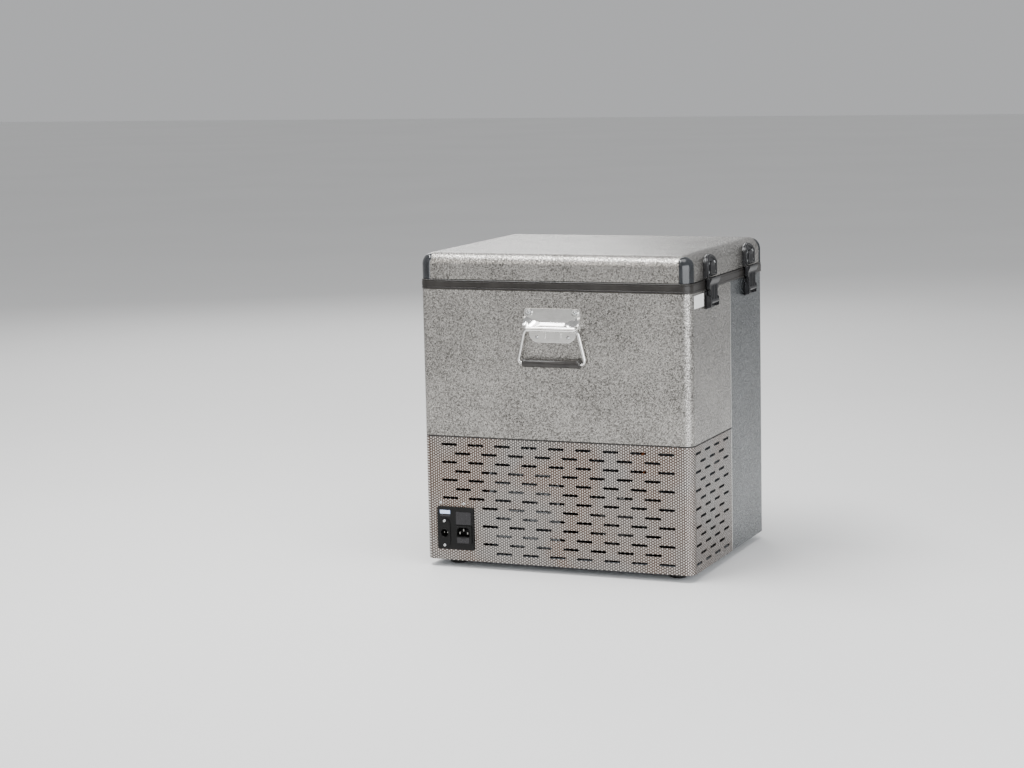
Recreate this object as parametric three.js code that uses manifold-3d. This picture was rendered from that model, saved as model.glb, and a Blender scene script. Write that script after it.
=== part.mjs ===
// Compressor cooler fridge, millimetres, +Z up.
// The vented compressor end faces -Y, the latches are on +X and the lid hinges on -X.
import * as THREE from 'three';
import { mergeVertices } from 'three/addons/utils/BufferGeometryUtils.js';
import Module from 'manifold-3d';

const wasm = await Module();
wasm.setup();

// ---------------------------------------------------------------- driving dimensions
const GAP = 0.3; // clearance between pieces that touch
const BODY = { x: 235, y: 192.5, corner: 15, bottom: 12.5 }; // half sizes of the cabinet
const SHEET = 0.8;
const VENT_TOP = 219.6;
const SEAM_GAP = 2.2; // open line between the vent cover and the wrap above it
const BAND = { bottom: 465.5, top: 481.1, proud: 0.8 };
const LID = { x: 234, y: 191.5, corner: 20.6, bottom: 482, top: 525, edge: 20, wall: 1.2 };
const SEAM_Y = 9.6; // rear edge of the front wrap and of the vent cover
const LAP = 16; // how far the rear shell runs on under the front wrap

const FOOT = { radius: 16, height: 12, x: 195, y: 150 };
const PAN = { thickness: 2, flange: 14 };
const TUB = { x: 197, y: 154, corner: 15, wall: 1.5, step: 262, floor: 60, wellFront: 45, top: 463.4 };

const SLOT = { length: 27.8, height: 4, pitch: 47.5, row: 15, rows: 13, top: 207.4 };
const VENT = { thickness: 1, firstX: -189, sideFirstY: -163.5, sideColumns: 4, panelRow: 7 };
const HINGE_SIDE_VENT_END = -105; // the slots on the hinge side stop here

const PANEL = { x0: -213, x1: -147, z0: 30.5, z1: 102.5, thickness: 2.2 };
const DC = { x: -199.6, z: 58, width: 20.5, height: 50 };
const AC = { x: -165.2, z: 56.8, width: 29.8, height: 30.5 };
const FLANGE = 2.4; // how far both sockets stand out from the panel
const LAMP = { x0: -207.2, x1: -189, z0: 90.6, z1: 96.7, proud: 1.3 };

const HANDLE = { width: 97, top: 438, tongue: 382, pivot: 404.5, reach: 7.9, rivetX: 27, screwX: 40 };
const FOLD = { side: 20, middle: 10.5, flat: 23 }; // height of the plate's fold above the pivot
const BAIL = { rod: 2.6, barrel: 4.8, topX: 45.5, bottomX: 58.6, drop: 55.5, grip: 7, gripHalf: 50 };

const LATCH = { offsets: [-102, 102], pivotX: 243, pivotZ: 446, lever: 484.4, outer: 248 };
const LEVER = { root: 3.8, narrow: 17.6, wide: 24, lip: 3 };
const CATCH = { halfWidth: 24, top: 522, round: 14, proud: 10, rim: 6, floor: 4.5, boss: 6, bossZ: 502 };
const HINGE = { offsets: [-110, 110], x: -243, z: 473, knuckle: 5, pin: 2.2, width: 60 };
const CAP = { proud: 2.4, halfWidth: 13, top: 523, round: 11 };
const LABEL = { y0: -177, y1: -129, z0: 440, z1: 461, thickness: 0.4 };

const CONTROL = { y0: -125, y1: -35, z0: 372, z1: 420, depth: 6 };
const BUTTON = { width: 11, height: 9, proud: 1.2, travel: 1.2 };

const COMPRESSOR = { x: 85, y: -95, z: 27.4 };
const CONDENSER = { x0: -130, x1: -5, y0: -165, y1: -128, z0: 14.4, z1: 165, fins: 13 };
const FAN = { x: -67, z: 90, y0: -124, y1: -100, size: 122, hole: 56, hub: 18, blades: 7 };
const BASKET = { x: 190, y0: 50, y1: 149, z0: 61, z1: 436, wire: 3, rings: 4, columns: 9 };

// ---------------------------------------------------------------- finishes
function finish(color, roughness, metalness) {
  return new THREE.MeshStandardMaterial({ color, roughness, metalness });
}

const FINISH = {
  embossed: finish(0xa5a39e, 0.5, 0.4),
  vent: finish(0xb3aaa6, 0.35, 0.8),
  galvanised: finish(0x8c9093, 0.5, 0.7),
  band: finish(0x3b3936, 0.5, 0),
  gloss: finish(0x2b2d30, 0.2, 0),
  black: finish(0x1b1b1c, 0.45, 0),
  rubber: finish(0x202020, 0.85, 0),
  chrome: finish(0xd8d8d6, 0.15, 1),
  liner: finish(0xdfe2e2, 0.4, 0),
  foam: finish(0xd9cf9f, 0.9, 0),
  enamel: finish(0x17181a, 0.35, 0.2),
  copper: finish(0xb06a42, 0.35, 1),
  aluminium: finish(0xb9bcbe, 0.4, 0.9),
  wire: finish(0xe6e8e8, 0.35, 0.2),
  lamp: finish(0xb9cbe8, 0.3, 0),
  label: finish(0xe9e9e6, 0.6, 0),
};

// ---------------------------------------------------------------- geometry helpers
function toSolid(geometry) {
  const bare = geometry.clone();
  bare.deleteAttribute('normal');
  bare.deleteAttribute('uv');
  const merged = mergeVertices(bare, 1e-4);
  return new wasm.Manifold(new wasm.Mesh({
    numProp: 3,
    vertProperties: merged.attributes.position.array,
    triVerts: merged.index.array,
  }));
}

function toGeometry(solid) {
  const mesh = solid.getMesh();
  const geometry = new THREE.BufferGeometry();
  geometry.setAttribute('position', new THREE.BufferAttribute(mesh.vertProperties, 3));
  geometry.setIndex(new THREE.BufferAttribute(mesh.triVerts, 1));
  geometry.computeVertexNormals();
  return geometry;
}

function join(...geometries) {
  return toGeometry(wasm.Manifold.union(geometries.map(toSolid)));
}

function cut(geometry, ...tools) {
  return toGeometry(toSolid(geometry).subtract(wasm.Manifold.union(tools.map(toSolid))));
}

function common(first, second) {
  return toGeometry(toSolid(first).intersect(toSolid(second)));
}

function box(x0, x1, y0, y1, z0, z1) {
  const geometry = new THREE.BoxGeometry(x1 - x0, y1 - y0, z1 - z0);
  return geometry.translate((x0 + x1) / 2, (y0 + y1) / 2, (z0 + z1) / 2);
}

function roundedRect(halfX, halfY, radius, cx = 0, cy = 0) {
  const shape = new THREE.Shape();
  const right = cx + halfX - radius;
  const left = cx - halfX + radius;
  const top = cy + halfY - radius;
  const low = cy - halfY + radius;
  shape.absarc(right, low, radius, -Math.PI / 2, 0);
  shape.absarc(right, top, radius, 0, Math.PI / 2);
  shape.absarc(left, top, radius, Math.PI / 2, Math.PI);
  shape.absarc(left, low, radius, Math.PI, 1.5 * Math.PI);
  return shape;
}

function polygon(points) {
  return new THREE.Shape(points.map(([x, y]) => new THREE.Vector2(x, y)));
}

function extrude(shape, depth, curveSegments) {
  return new THREE.ExtrudeGeometry(shape, { depth, curveSegments, bevelEnabled: false });
}

function prismZ(shape, z0, z1, segments = 6) {
  return extrude(shape, z1 - z0, segments).translate(0, 0, z0);
}

// The shape's axes are X and Z.
function prismY(shape, y0, y1, segments = 6) {
  return extrude(shape, y1 - y0, segments).rotateX(Math.PI / 2).translate(0, y1, 0);
}

// The shape's axes are Y and Z.
function prismX(shape, x0, x1, segments = 6) {
  const turn = new THREE.Matrix4().makeBasis(
    new THREE.Vector3(0, 1, 0),
    new THREE.Vector3(0, 0, 1),
    new THREE.Vector3(1, 0, 0),
  );
  return extrude(shape, x1 - x0, segments).applyMatrix4(turn).translate(x0, 0, 0);
}

// A rounded block whose upper edges are turned over with a radius, flat underneath.
function domed(halfX, halfY, corner, bottom, top, edge, segments = 6) {
  const shape = roundedRect(halfX, halfY, corner);
  const block = new THREE.ExtrudeGeometry(shape, {
    depth: top - bottom,
    curveSegments: segments,
    bevelThickness: edge,
    bevelSize: edge,
    bevelOffset: -edge,
    bevelSegments: segments,
  }).translate(0, 0, bottom - edge);
  const below = box(-2 * halfX, 2 * halfX, -2 * halfY, 2 * halfY, bottom - 3 * edge, bottom);
  return cut(block, below);
}

function rod(start, end, radius, sides = 8) {
  const from = new THREE.Vector3(...start);
  const span = new THREE.Vector3(...end).sub(from);
  const geometry = new THREE.CylinderGeometry(radius, radius, span.length(), sides);
  const up = new THREE.Vector3(0, 1, 0);
  const turn = new THREE.Quaternion().setFromUnitVectors(up, span.clone().normalize());
  return geometry.applyQuaternion(turn).translate(...from.addScaledVector(span, 0.5).toArray());
}

function ball(center, radius, sides = 8) {
  return new THREE.SphereGeometry(radius, sides, 5).translate(...center);
}

// A bent rod through a list of points, with round elbows.
function bentRod(points, radius, closed = false) {
  const last = closed ? points.length : points.length - 1;
  const pieces = [];
  for (let i = 0; i < last; i += 1) {
    pieces.push(rod(points[i], points[(i + 1) % points.length], radius));
  }
  for (let i = closed ? 0 : 1; i < last; i += 1) {
    pieces.push(ball(points[i], radius));
  }
  return join(...pieces);
}

function ring(outer, inner, z0, z1) {
  return cut(prismZ(outer, z0, z1), prismZ(inner, z0 - 1, z1 + 1));
}

const object = new THREE.Group();

function add(name, geometry, material, parent = object) {
  const mesh = new THREE.Mesh(geometry, material);
  mesh.name = name;
  parent.add(mesh);
  return mesh;
}

// ---------------------------------------------------------------- cabinet skins
function cabinetShape(inset) {
  return roundedRect(BODY.x - inset, BODY.y - inset, BODY.corner - inset);
}

function behind(y) {
  return box(-300, 300, y, 300, -10, 600);
}

function ahead(y) {
  return box(-300, 300, -300, y, -10, 600);
}

function slotOutline(cx, cy) {
  const half = SLOT.length / 2;
  const tall = SLOT.height / 2;
  const nose = tall * 0.6;
  return polygon([
    [cx - half + nose, cy - tall], [cx + half - nose, cy - tall], [cx + half, cy],
    [cx + half - nose, cy + tall], [cx - half + nose, cy + tall], [cx - half, cy],
  ]);
}

function ventSlots() {
  const slots = [];
  for (let row = 0; row < SLOT.rows; row += 1) {
    const z = SLOT.top - row * SLOT.row;
    const shift = (row % 2) * SLOT.pitch / 2;
    const columns = 9 - (row % 2);
    for (let column = 0; column < columns; column += 1) {
      const x = VENT.firstX + shift + column * SLOT.pitch;
      const besidePanel = row >= VENT.panelRow && x < PANEL.x1 + SLOT.length / 2;
      if (!besidePanel) {
        slots.push(prismY(slotOutline(x, z), -BODY.y - 2, -BODY.y + 3));
      }
    }
    for (let column = 0; column < VENT.sideColumns; column += 1) {
      const y = VENT.sideFirstY + shift + column * SLOT.pitch;
      if (y + SLOT.length / 2 < SEAM_Y - 4) {
        slots.push(prismX(slotOutline(y, z), BODY.x - 3, BODY.x + 2));
      }
      if (y + SLOT.length / 2 < HINGE_SIDE_VENT_END) {
        slots.push(prismX(slotOutline(y, z), -BODY.x - 2, -BODY.x + 3));
      }
    }
  }
  return slots;
}

function buildSkins() {
  const wrap = ring(cabinetShape(0), cabinetShape(SHEET), VENT_TOP + SEAM_GAP, BAND.bottom - GAP);
  add('front_wrap_panel', cut(wrap, behind(SEAM_Y)), FINISH.embossed);

  const inset = SHEET + 0.1;
  const rear = ring(cabinetShape(inset), cabinetShape(inset + SHEET), BODY.bottom, BAND.bottom - GAP);
  const lowFront = box(-300, 300, -300, SEAM_Y + GAP, 0, VENT_TOP + SEAM_GAP);
  add('rear_shell', cut(rear, ahead(SEAM_Y - LAP), lowFront), FINISH.galvanised);

  const vent = ring(cabinetShape(0), cabinetShape(VENT.thickness), BODY.bottom, VENT_TOP);
  const margin = 4;
  const window = box(PANEL.x0 + margin, PANEL.x1 - margin, -BODY.y - 2, -BODY.y + 3,
    PANEL.z0 + margin, PANEL.z1 - margin);
  add('vent_cover', cut(vent, behind(SEAM_Y), window, ...ventSlots()), FINISH.vent);

  const band = {
    x: BODY.x + BAND.proud,
    y: BODY.y + BAND.proud,
    corner: BODY.corner + BAND.proud,
  };
  const opening = roundedRect(TUB.x, TUB.y, TUB.corner);
  const frame = ring(roundedRect(band.x, band.y, band.corner), opening, BAND.bottom, BAND.top);
  add('top_frame_band', frame, FINISH.band);
}

// ---------------------------------------------------------------- base, tub and insulation
function buildBase() {
  const outer = cabinetShape(2.1);
  const floor = prismZ(outer, FOOT.height, FOOT.height + PAN.thickness);
  const flange = ring(outer, cabinetShape(3.3), FOOT.height, FOOT.height + PAN.flange);
  add('base_pan', join(floor, flange), FINISH.galvanised);

  const places = { front_left: [-1, -1], front_right: [1, -1], rear_left: [-1, 1], rear_right: [1, 1] };
  for (const [name, [sx, sy]] of Object.entries(places)) {
    const foot = new THREE.CylinderGeometry(FOOT.radius, FOOT.radius - 2.5, FOOT.height - GAP, 20);
    const mesh = add(`foot_${name}`, foot.rotateX(Math.PI / 2), FINISH.rubber);
    mesh.position.set(sx * FOOT.x, sy * FOOT.y, (FOOT.height - GAP) / 2);
  }
}

// The tub is full width above the compressor bay and has a deep well behind it.
function tubBlock(grow, top) {
  const facets = 3;
  const upper = roundedRect(TUB.x + grow, TUB.y + grow, TUB.corner + grow);
  const depth = (TUB.y - TUB.wellFront) / 2;
  const centre = (TUB.y + TUB.wellFront) / 2;
  const well = roundedRect(TUB.x + grow, depth + grow, TUB.corner + grow, 0, centre);
  return join(
    prismZ(upper, TUB.step - grow, top, facets),
    prismZ(well, TUB.floor - grow, TUB.step, facets),
  );
}

function buildInsulation() {
  const flangeTop = TUB.top + 1.8;
  const lip = 18;
  const rim = prismZ(roundedRect(TUB.x + lip, TUB.y + lip, TUB.corner + lip), TUB.top, flangeTop);
  const tub = cut(join(tubBlock(TUB.wall, flangeTop), rim), tubBlock(0, flangeTop + 5));
  add('inner_tub', tub, FINISH.liner);

  const bay = box(-300, 300, -300, SEAM_Y - GAP, 0, VENT_TOP + SEAM_GAP);
  const block = prismZ(cabinetShape(2.1), FOOT.height + PAN.flange + GAP, TUB.top - GAP);
  add('insulation_foam', cut(block, bay, tubBlock(TUB.wall + GAP, BAND.top)), FINISH.foam);

  const back = box(-231, 231, SEAM_Y - 1.4, SEAM_Y - 0.5, FOOT.height + PAN.flange + GAP, VENT_TOP);
  const roof = box(-231, 231, -170, SEAM_Y - 0.5, VENT_TOP - 1, VENT_TOP);
  add('bay_bulkhead', join(back, roof), FINISH.galvanised);
}

// ---------------------------------------------------------------- refrigeration
function buildCompressor() {
  const outline = [
    [0, 0], [52, 0], [60, 7], [64, 22], [64, 62], [67, 64], [67, 70], [63, 72], [61, 96],
    [48, 112], [26, 120], [0, 122],
  ];
  const profile = outline.map(([radius, height]) => new THREE.Vector2(radius, height));
  const shell = new THREE.LatheGeometry(profile, 20).rotateX(Math.PI / 2);
  const mesh = add('compressor', shell, FINISH.enamel);
  mesh.position.set(COMPRESSOR.x, COMPRESSOR.y, COMPRESSOR.z);

  const plate = { half: 62, z0: 23, z1: COMPRESSOR.z - GAP };
  const pieces = [box(-plate.half, plate.half, -plate.half, plate.half, plate.z0, plate.z1)];
  for (const [sx, sy] of [[-1, -1], [1, -1], [-1, 1], [1, 1]]) {
    const at = [sx * (plate.half - 9), sy * (plate.half - 9)];
    pieces.push(rod([...at, FOOT.height + PAN.thickness + GAP], [...at, plate.z1], 8, 12));
  }
  const bracket = add('compressor_bracket', join(...pieces), FINISH.galvanised);
  bracket.position.set(COMPRESSOR.x, COMPRESSOR.y, 0);
}

function buildCondenser() {
  const { x0, x1, y0, y1, z0, z1, fins } = CONDENSER;
  const pitch = (z1 - z0 - 8) / fins;
  const gaps = [];
  for (let i = 0; i < fins; i += 1) {
    const z = z0 + 6 + i * pitch;
    gaps.push(box(x0 + 4, x1 - 4, y0 - 1, y0 + 12, z, z + pitch - 3));
    gaps.push(box(x0 + 4, x1 - 4, y1 - 12, y1 + 1, z, z + pitch - 3));
  }
  add('condenser', cut(box(x0, x1, y0, y1, z0, z1), ...gaps), FINISH.aluminium);
}

function buildFan() {
  const half = FAN.size / 2;
  const frame = box(FAN.x - half, FAN.x + half, FAN.y0, FAN.y1, FAN.z - half, FAN.z + half);
  const hole = rod([FAN.x, FAN.y0 - 1, FAN.z], [FAN.x, FAN.y1 + 1, FAN.z], FAN.hole, 32);
  const strutY0 = FAN.y1 - 4;
  const pieces = [rod([FAN.x, strutY0, FAN.z], [FAN.x, FAN.y1, FAN.z], FAN.hub, 20)];
  for (const angle of [Math.PI / 4, -Math.PI / 4]) {
    const strut = box(-half, half, strutY0, FAN.y1, -2.5, 2.5).rotateY(angle);
    pieces.push(strut.translate(FAN.x, 0, FAN.z));
  }
  add('fan_shroud', join(cut(frame, hole), ...pieces), FINISH.black);

  const rotor = [rod([0, FAN.y0 + 3, 0], [0, strutY0 - 1, 0], FAN.hub, 20)];
  for (let i = 0; i < FAN.blades; i += 1) {
    const blade = box(FAN.hub - 3, FAN.hole - 4, -0.9, 0.9, -9, 9).rotateX(0.6);
    blade.translate(0, (FAN.y0 + strutY0) / 2, 0);
    rotor.push(blade.rotateY((i * 2 * Math.PI) / FAN.blades));
  }
  const mesh = add('fan_rotor', join(...rotor), FINISH.black);
  mesh.position.set(FAN.x, 0, FAN.z);
}

function tube(points, radius, steps) {
  const path = new THREE.CatmullRomCurve3(points.map((p) => new THREE.Vector3(...p)), false, 'centripetal');
  const section = new THREE.Shape().absarc(0, 0, radius, 0, 2 * Math.PI);
  return new THREE.ExtrudeGeometry(section, { extrudePath: path, steps, curveSegments: 8 });
}

function buildPlumbing() {
  const { x, y } = COMPRESSOR;
  const suction = [
    [x, y + 66, 110], [x, y + 78, 114], [x, y + 85, 132],
    [x, y + 85, 176], [x, y + 92, 198], [x, SEAM_Y - 3, 200],
  ];
  add('suction_tube', tube(suction, 4, 16), FINISH.copper);
  const left = x - 66.5;
  const discharge = [
    [left, y, 76], [left - 10, y - 6, 78], [left - 13, y - 30, 96],
    [left - 15, y - 50, 110], [CONDENSER.x1 + 1.8, y - 52, 112],
  ];
  add('discharge_tube', tube(discharge, 3, 14), FINISH.copper);

  const outline = [[0, 0], [3, 0], [3, 12], [9, 20], [9, 78], [3, 86], [3, 98], [0, 98]];
  const profile = outline.map(([radius, height]) => new THREE.Vector2(radius, height));
  const canister = new THREE.LatheGeometry(profile, 14).rotateX(Math.PI / 2);
  const drier = add('drier_filter', canister, FINISH.copper);
  drier.position.set(-165, -70, 60);

  const controller = [box(160, 218, -130, -30, 14.4, 62)];
  for (let y0 = -124; y0 < -36; y0 += 12) {
    controller.push(box(164, 214, y0, y0 + 4, 60, 72));
  }
  add('motor_controller', join(...controller), FINISH.black);
}

// ---------------------------------------------------------------- power inputs
function ovalShape(width, height, cx, cz) {
  return roundedRect(width / 2, height / 2, width / 2 - 0.01, cx, cz);
}

function buildPowerPanel() {
  const back = -BODY.y - GAP;
  const face = back - PANEL.thickness;
  const centre = [(PANEL.x0 + PANEL.x1) / 2, (PANEL.z0 + PANEL.z1) / 2];
  const plate = roundedRect((PANEL.x1 - PANEL.x0) / 2, (PANEL.z1 - PANEL.z0) / 2, 3, ...centre);
  const dcHole = rod([DC.x, face - 1, DC.z], [DC.x, back + 1, DC.z], 8.6, 16);
  const acHole = box(AC.x - 12.2, AC.x + 12.2, face - 1, back + 1, AC.z - 13.4, AC.z + 13.4);
  add('power_panel', cut(prismY(plate, face, back, 3), dcHole, acHole), FINISH.black);

  const flangeFront = face - FLANGE;
  const oval = prismY(ovalShape(DC.width, DC.height, DC.x, DC.z), flangeFront, face - GAP, 6);
  const barrel = rod([DC.x, face - 1, DC.z], [DC.x, back + 24, DC.z], 8.2, 16);
  const bore = rod([DC.x, flangeFront - 1, DC.z], [DC.x, back + 20, DC.z], 6.4, 16);
  add('dc_socket', cut(join(oval, barrel), bore), FINISH.black);

  const rim = box(AC.x - AC.width / 2, AC.x + AC.width / 2, flangeFront, face - GAP,
    AC.z - AC.height / 2, AC.z + AC.height / 2);
  const shell = box(AC.x - 11.9, AC.x + 11.9, face - 1, back + 22, AC.z - 13.1, AC.z + 13.1);
  const socket = box(AC.x - 11.3, AC.x + 11.3, flangeFront - 1, back + 16, AC.z - 3.4, AC.z + 12.2);
  const pins = [-7, 0, 7].map((dx) => box(AC.x + dx - 1, AC.x + dx + 1, back + 1, back + 17,
    AC.z + (dx === 0 ? 5.5 : 0.5), AC.z + (dx === 0 ? 9.5 : 4.5)));
  const fuse = box(AC.x - 11, AC.x + 11, flangeFront - 0.8, flangeFront + 1, AC.z - 14, AC.z - 4.6);
  add('ac_inlet', join(cut(join(rim, shell), socket), fuse, ...pins), FINISH.black);

  const lamp = box(LAMP.x0, LAMP.x1, face - LAMP.proud, face - GAP, LAMP.z0, LAMP.z1);
  add('power_lamp', lamp, FINISH.lamp);
}

// ---------------------------------------------------------------- carry handles
function handlePlate() {
  const half = HANDLE.width / 2;
  const wall = -BODY.y - GAP;
  const tongue = HANDLE.tongue + 9;
  const plate = polygon([
    [-half, HANDLE.pivot - 4], [-half + 8, HANDLE.pivot - 4], [-half + 8, tongue],
    [-half + 11, tongue - 5.5], [-half + 18, HANDLE.tongue],
    [half - 18, HANDLE.tongue], [half - 11, tongue - 5.5], [half - 8, tongue],
    [half - 8, HANDLE.pivot - 4], [half, HANDLE.pivot - 4], [half, HANDLE.top - 4],
    [half - 4, HANDLE.top], [-half + 4, HANDLE.top], [-half, HANDLE.top - 4],
  ]);
  const low = HANDLE.pivot + 2;
  const crest = HANDLE.pivot + FOLD.side;
  const middle = HANDLE.pivot + FOLD.middle;
  const scallop = polygon([
    [-half, low], [half, low], [half, crest], [half - 4, crest],
    [FOLD.flat, middle], [-FOLD.flat, middle], [-half + 4, crest], [-half, crest],
  ]);
  const y = -BODY.y - HANDLE.reach;
  const barrelHalf = BAIL.topX - BAIL.rod - 0.6;
  const barrel = rod([-barrelHalf, y, HANDLE.pivot], [barrelHalf, y, HANDLE.pivot], BAIL.barrel, 16);
  const bore = rod([-80, y, HANDLE.pivot], [80, y, HANDLE.pivot], BAIL.rod + 0.5, 16);
  const slope = polygon([
    [wall, low], [y - 4, low], [y - 4, HANDLE.pivot + 4], [wall - 2, crest + 1], [wall, crest + 1],
  ]);
  const wrap = common(prismY(scallop, y - 4, wall, 4), prismX(slope, -half, half));
  const clear = box(-80, 80, y - 9, y + 4, HANDLE.pivot - 9, HANDLE.pivot + 5);
  const hood = cut(wrap, clear);
  const web = box(-barrelHalf, barrelHalf, y - 3.6, y + 4.6, HANDLE.pivot + 3, HANDLE.pivot + 8);
  const stud = (x, z, proud, radius) => rod([x, wall - proud, z], [x, wall - 1, z], radius, 12);
  const studs = [-1, 1].flatMap((side) => [
    stud(side * HANDLE.rivetX, HANDLE.tongue + 9, 4, 3),
    stud(side * HANDLE.screwX, HANDLE.top - 7, 4.4, 3.6),
  ]);
  const solid = join(prismY(plate, wall - 2, wall, 4), hood, barrel, web, ...studs);
  return cut(solid, bore);
}

function buildHandle(side, turn) {
  const group = new THREE.Group();
  group.rotation.z = turn;
  object.add(group);
  const y = -BODY.y - HANDLE.reach;
  const low = HANDLE.pivot - BAIL.drop;
  const corner = 7;
  add(`handle_${side}_plate`, handlePlate(), FINISH.chrome, group);
  const loop = [
    [-BAIL.topX, y, HANDLE.pivot], [-BAIL.bottomX, y, low + corner], [-BAIL.bottomX + corner, y, low],
    [BAIL.bottomX - corner, y, low], [BAIL.bottomX, y, low + corner], [BAIL.topX, y, HANDLE.pivot],
  ];
  add(`handle_${side}_bail`, bentRod(loop, BAIL.rod, true), FINISH.chrome, group);
  const sleeve = rod([-BAIL.gripHalf, y, low], [BAIL.gripHalf, y, low], BAIL.grip, 16);
  const bore = rod([-80, y, low], [80, y, low], BAIL.rod + GAP, 10);
  add(`handle_${side}_grip`, cut(sleeve, bore), FINISH.rubber, group);
}

// ---------------------------------------------------------------- latches
function latchLever() {
  const { pivotX, pivotZ, lever, outer } = LATCH;
  const back = pivotX - LEVER.root;
  const profile = new THREE.Shape();
  profile.moveTo(back, lever);
  profile.lineTo(back, pivotZ);
  profile.absarc(pivotX, pivotZ, LEVER.root, Math.PI, 2 * Math.PI);
  profile.lineTo(pivotX + 2.4, pivotZ + 14);
  profile.lineTo(pivotX + 1.6, lever - 12);
  profile.lineTo(outer, lever - LEVER.lip);
  profile.lineTo(outer, lever);
  const narrow = prismY(profile, -LEVER.narrow, LEVER.narrow, 6);
  const wide = prismY(profile, -LEVER.wide, LEVER.wide, 6);
  const upper = common(wide, box(0, 300, -30, 30, BAND.bottom - 2, 600));
  const bore = rod([pivotX, -40, pivotZ], [pivotX, 40, pivotZ], 2.3, 14);
  return cut(join(narrow, upper), bore);
}

function latchBase() {
  const back = BODY.x + GAP;
  const half = LEVER.narrow + 3;
  const inner = LEVER.narrow + 0.4;
  const plate = box(back, back + 3, -half, half, 434, BAND.bottom - 2);
  const cheek = (y0, y1) => box(back + 1, LATCH.pivotX + 3, y0, y1, 435, 458);
  const cheeks = [cheek(-half, -inner), cheek(inner, half)];
  const pin = rod([LATCH.pivotX, -19, LATCH.pivotZ], [LATCH.pivotX, 19, LATCH.pivotZ], 1.9, 14);
  return join(plate, ...cheeks, pin);
}

// The catch hugs the lid's rounded shoulder, so its section follows the same centre.
function latchCatch() {
  const bottom = LATCH.lever + 0.5;
  const shoulder = { x: LID.x - LID.edge, z: LID.top - LID.edge };
  const section = (near, far, low) => {
    const shape = new THREE.Shape();
    shape.moveTo(shoulder.x + near, low);
    shape.lineTo(shoulder.x + far, low);
    shape.absarc(shoulder.x, shoulder.z, far, 0, Math.PI / 2);
    shape.absarc(shoulder.x, shoulder.z, near, Math.PI / 2, 0, true);
    return shape;
  };
  const arch = (inset) => {
    const half = CATCH.halfWidth - inset;
    const round = CATCH.round - inset / 2;
    const spring = CATCH.top - inset - round;
    const shape = new THREE.Shape();
    shape.moveTo(-half, bottom + inset);
    shape.lineTo(half, bottom + inset);
    shape.lineTo(half, spring);
    shape.absellipse(0, spring, half, round, 0, Math.PI);
    return shape;
  };
  const near = LID.edge + GAP;
  const far = LID.edge + CATCH.proud;
  const reach = CATCH.halfWidth + 1;
  const slab = prismY(section(near, far, bottom), -reach, reach, 8);
  const body = common(slab, prismX(arch(0), 200, 260, 10));
  const dish = section(near + CATCH.floor, far + 2, bottom);
  const pocket = common(prismY(dish, -reach, reach, 8), prismX(arch(CATCH.rim), 200, 260, 10));
  const boss = rod([LID.x + 3, 0, CATCH.bossZ], [LID.x + 8.5, 0, CATCH.bossZ], CATCH.boss, 14);
  return join(cut(body, pocket), boss);
}

function buildLatches() {
  LATCH.offsets.forEach((y, index) => {
    const group = new THREE.Group();
    group.position.y = y;
    object.add(group);
    const name = ['front', 'rear'][index];
    add(`latch_${name}_base`, latchBase(), FINISH.black, group);
    add(`latch_${name}_lever`, latchLever(), FINISH.black, group);
    add(`latch_${name}_catch`, latchCatch(), FINISH.black, group);
  });
}

// ---------------------------------------------------------------- lid and hinges
function lidBlock(inset, bottom, top, segments = 5) {
  return domed(LID.x - inset, LID.y - inset, LID.corner - inset, bottom, top, LID.edge - inset, segments);
}

function cornerCap() {
  const grow = -CAP.proud;
  const outer = lidBlock(grow, LID.bottom, LID.top - grow);
  const inner = lidBlock(-GAP, LID.bottom - 1, LID.top + GAP);
  const arch = new THREE.Shape();
  const side = CAP.halfWidth;
  arch.moveTo(-side, LID.bottom - 2);
  arch.lineTo(side, LID.bottom - 2);
  arch.lineTo(side, CAP.top - CAP.round);
  arch.absellipse(0, CAP.top - CAP.round, side, CAP.round, 0, Math.PI);
  const window = prismY(arch, -60, 0, 10).rotateZ(Math.PI / 4).translate(LID.x - 15, -LID.y + 15, 0);
  return common(cut(outer, inner), window);
}

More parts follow.
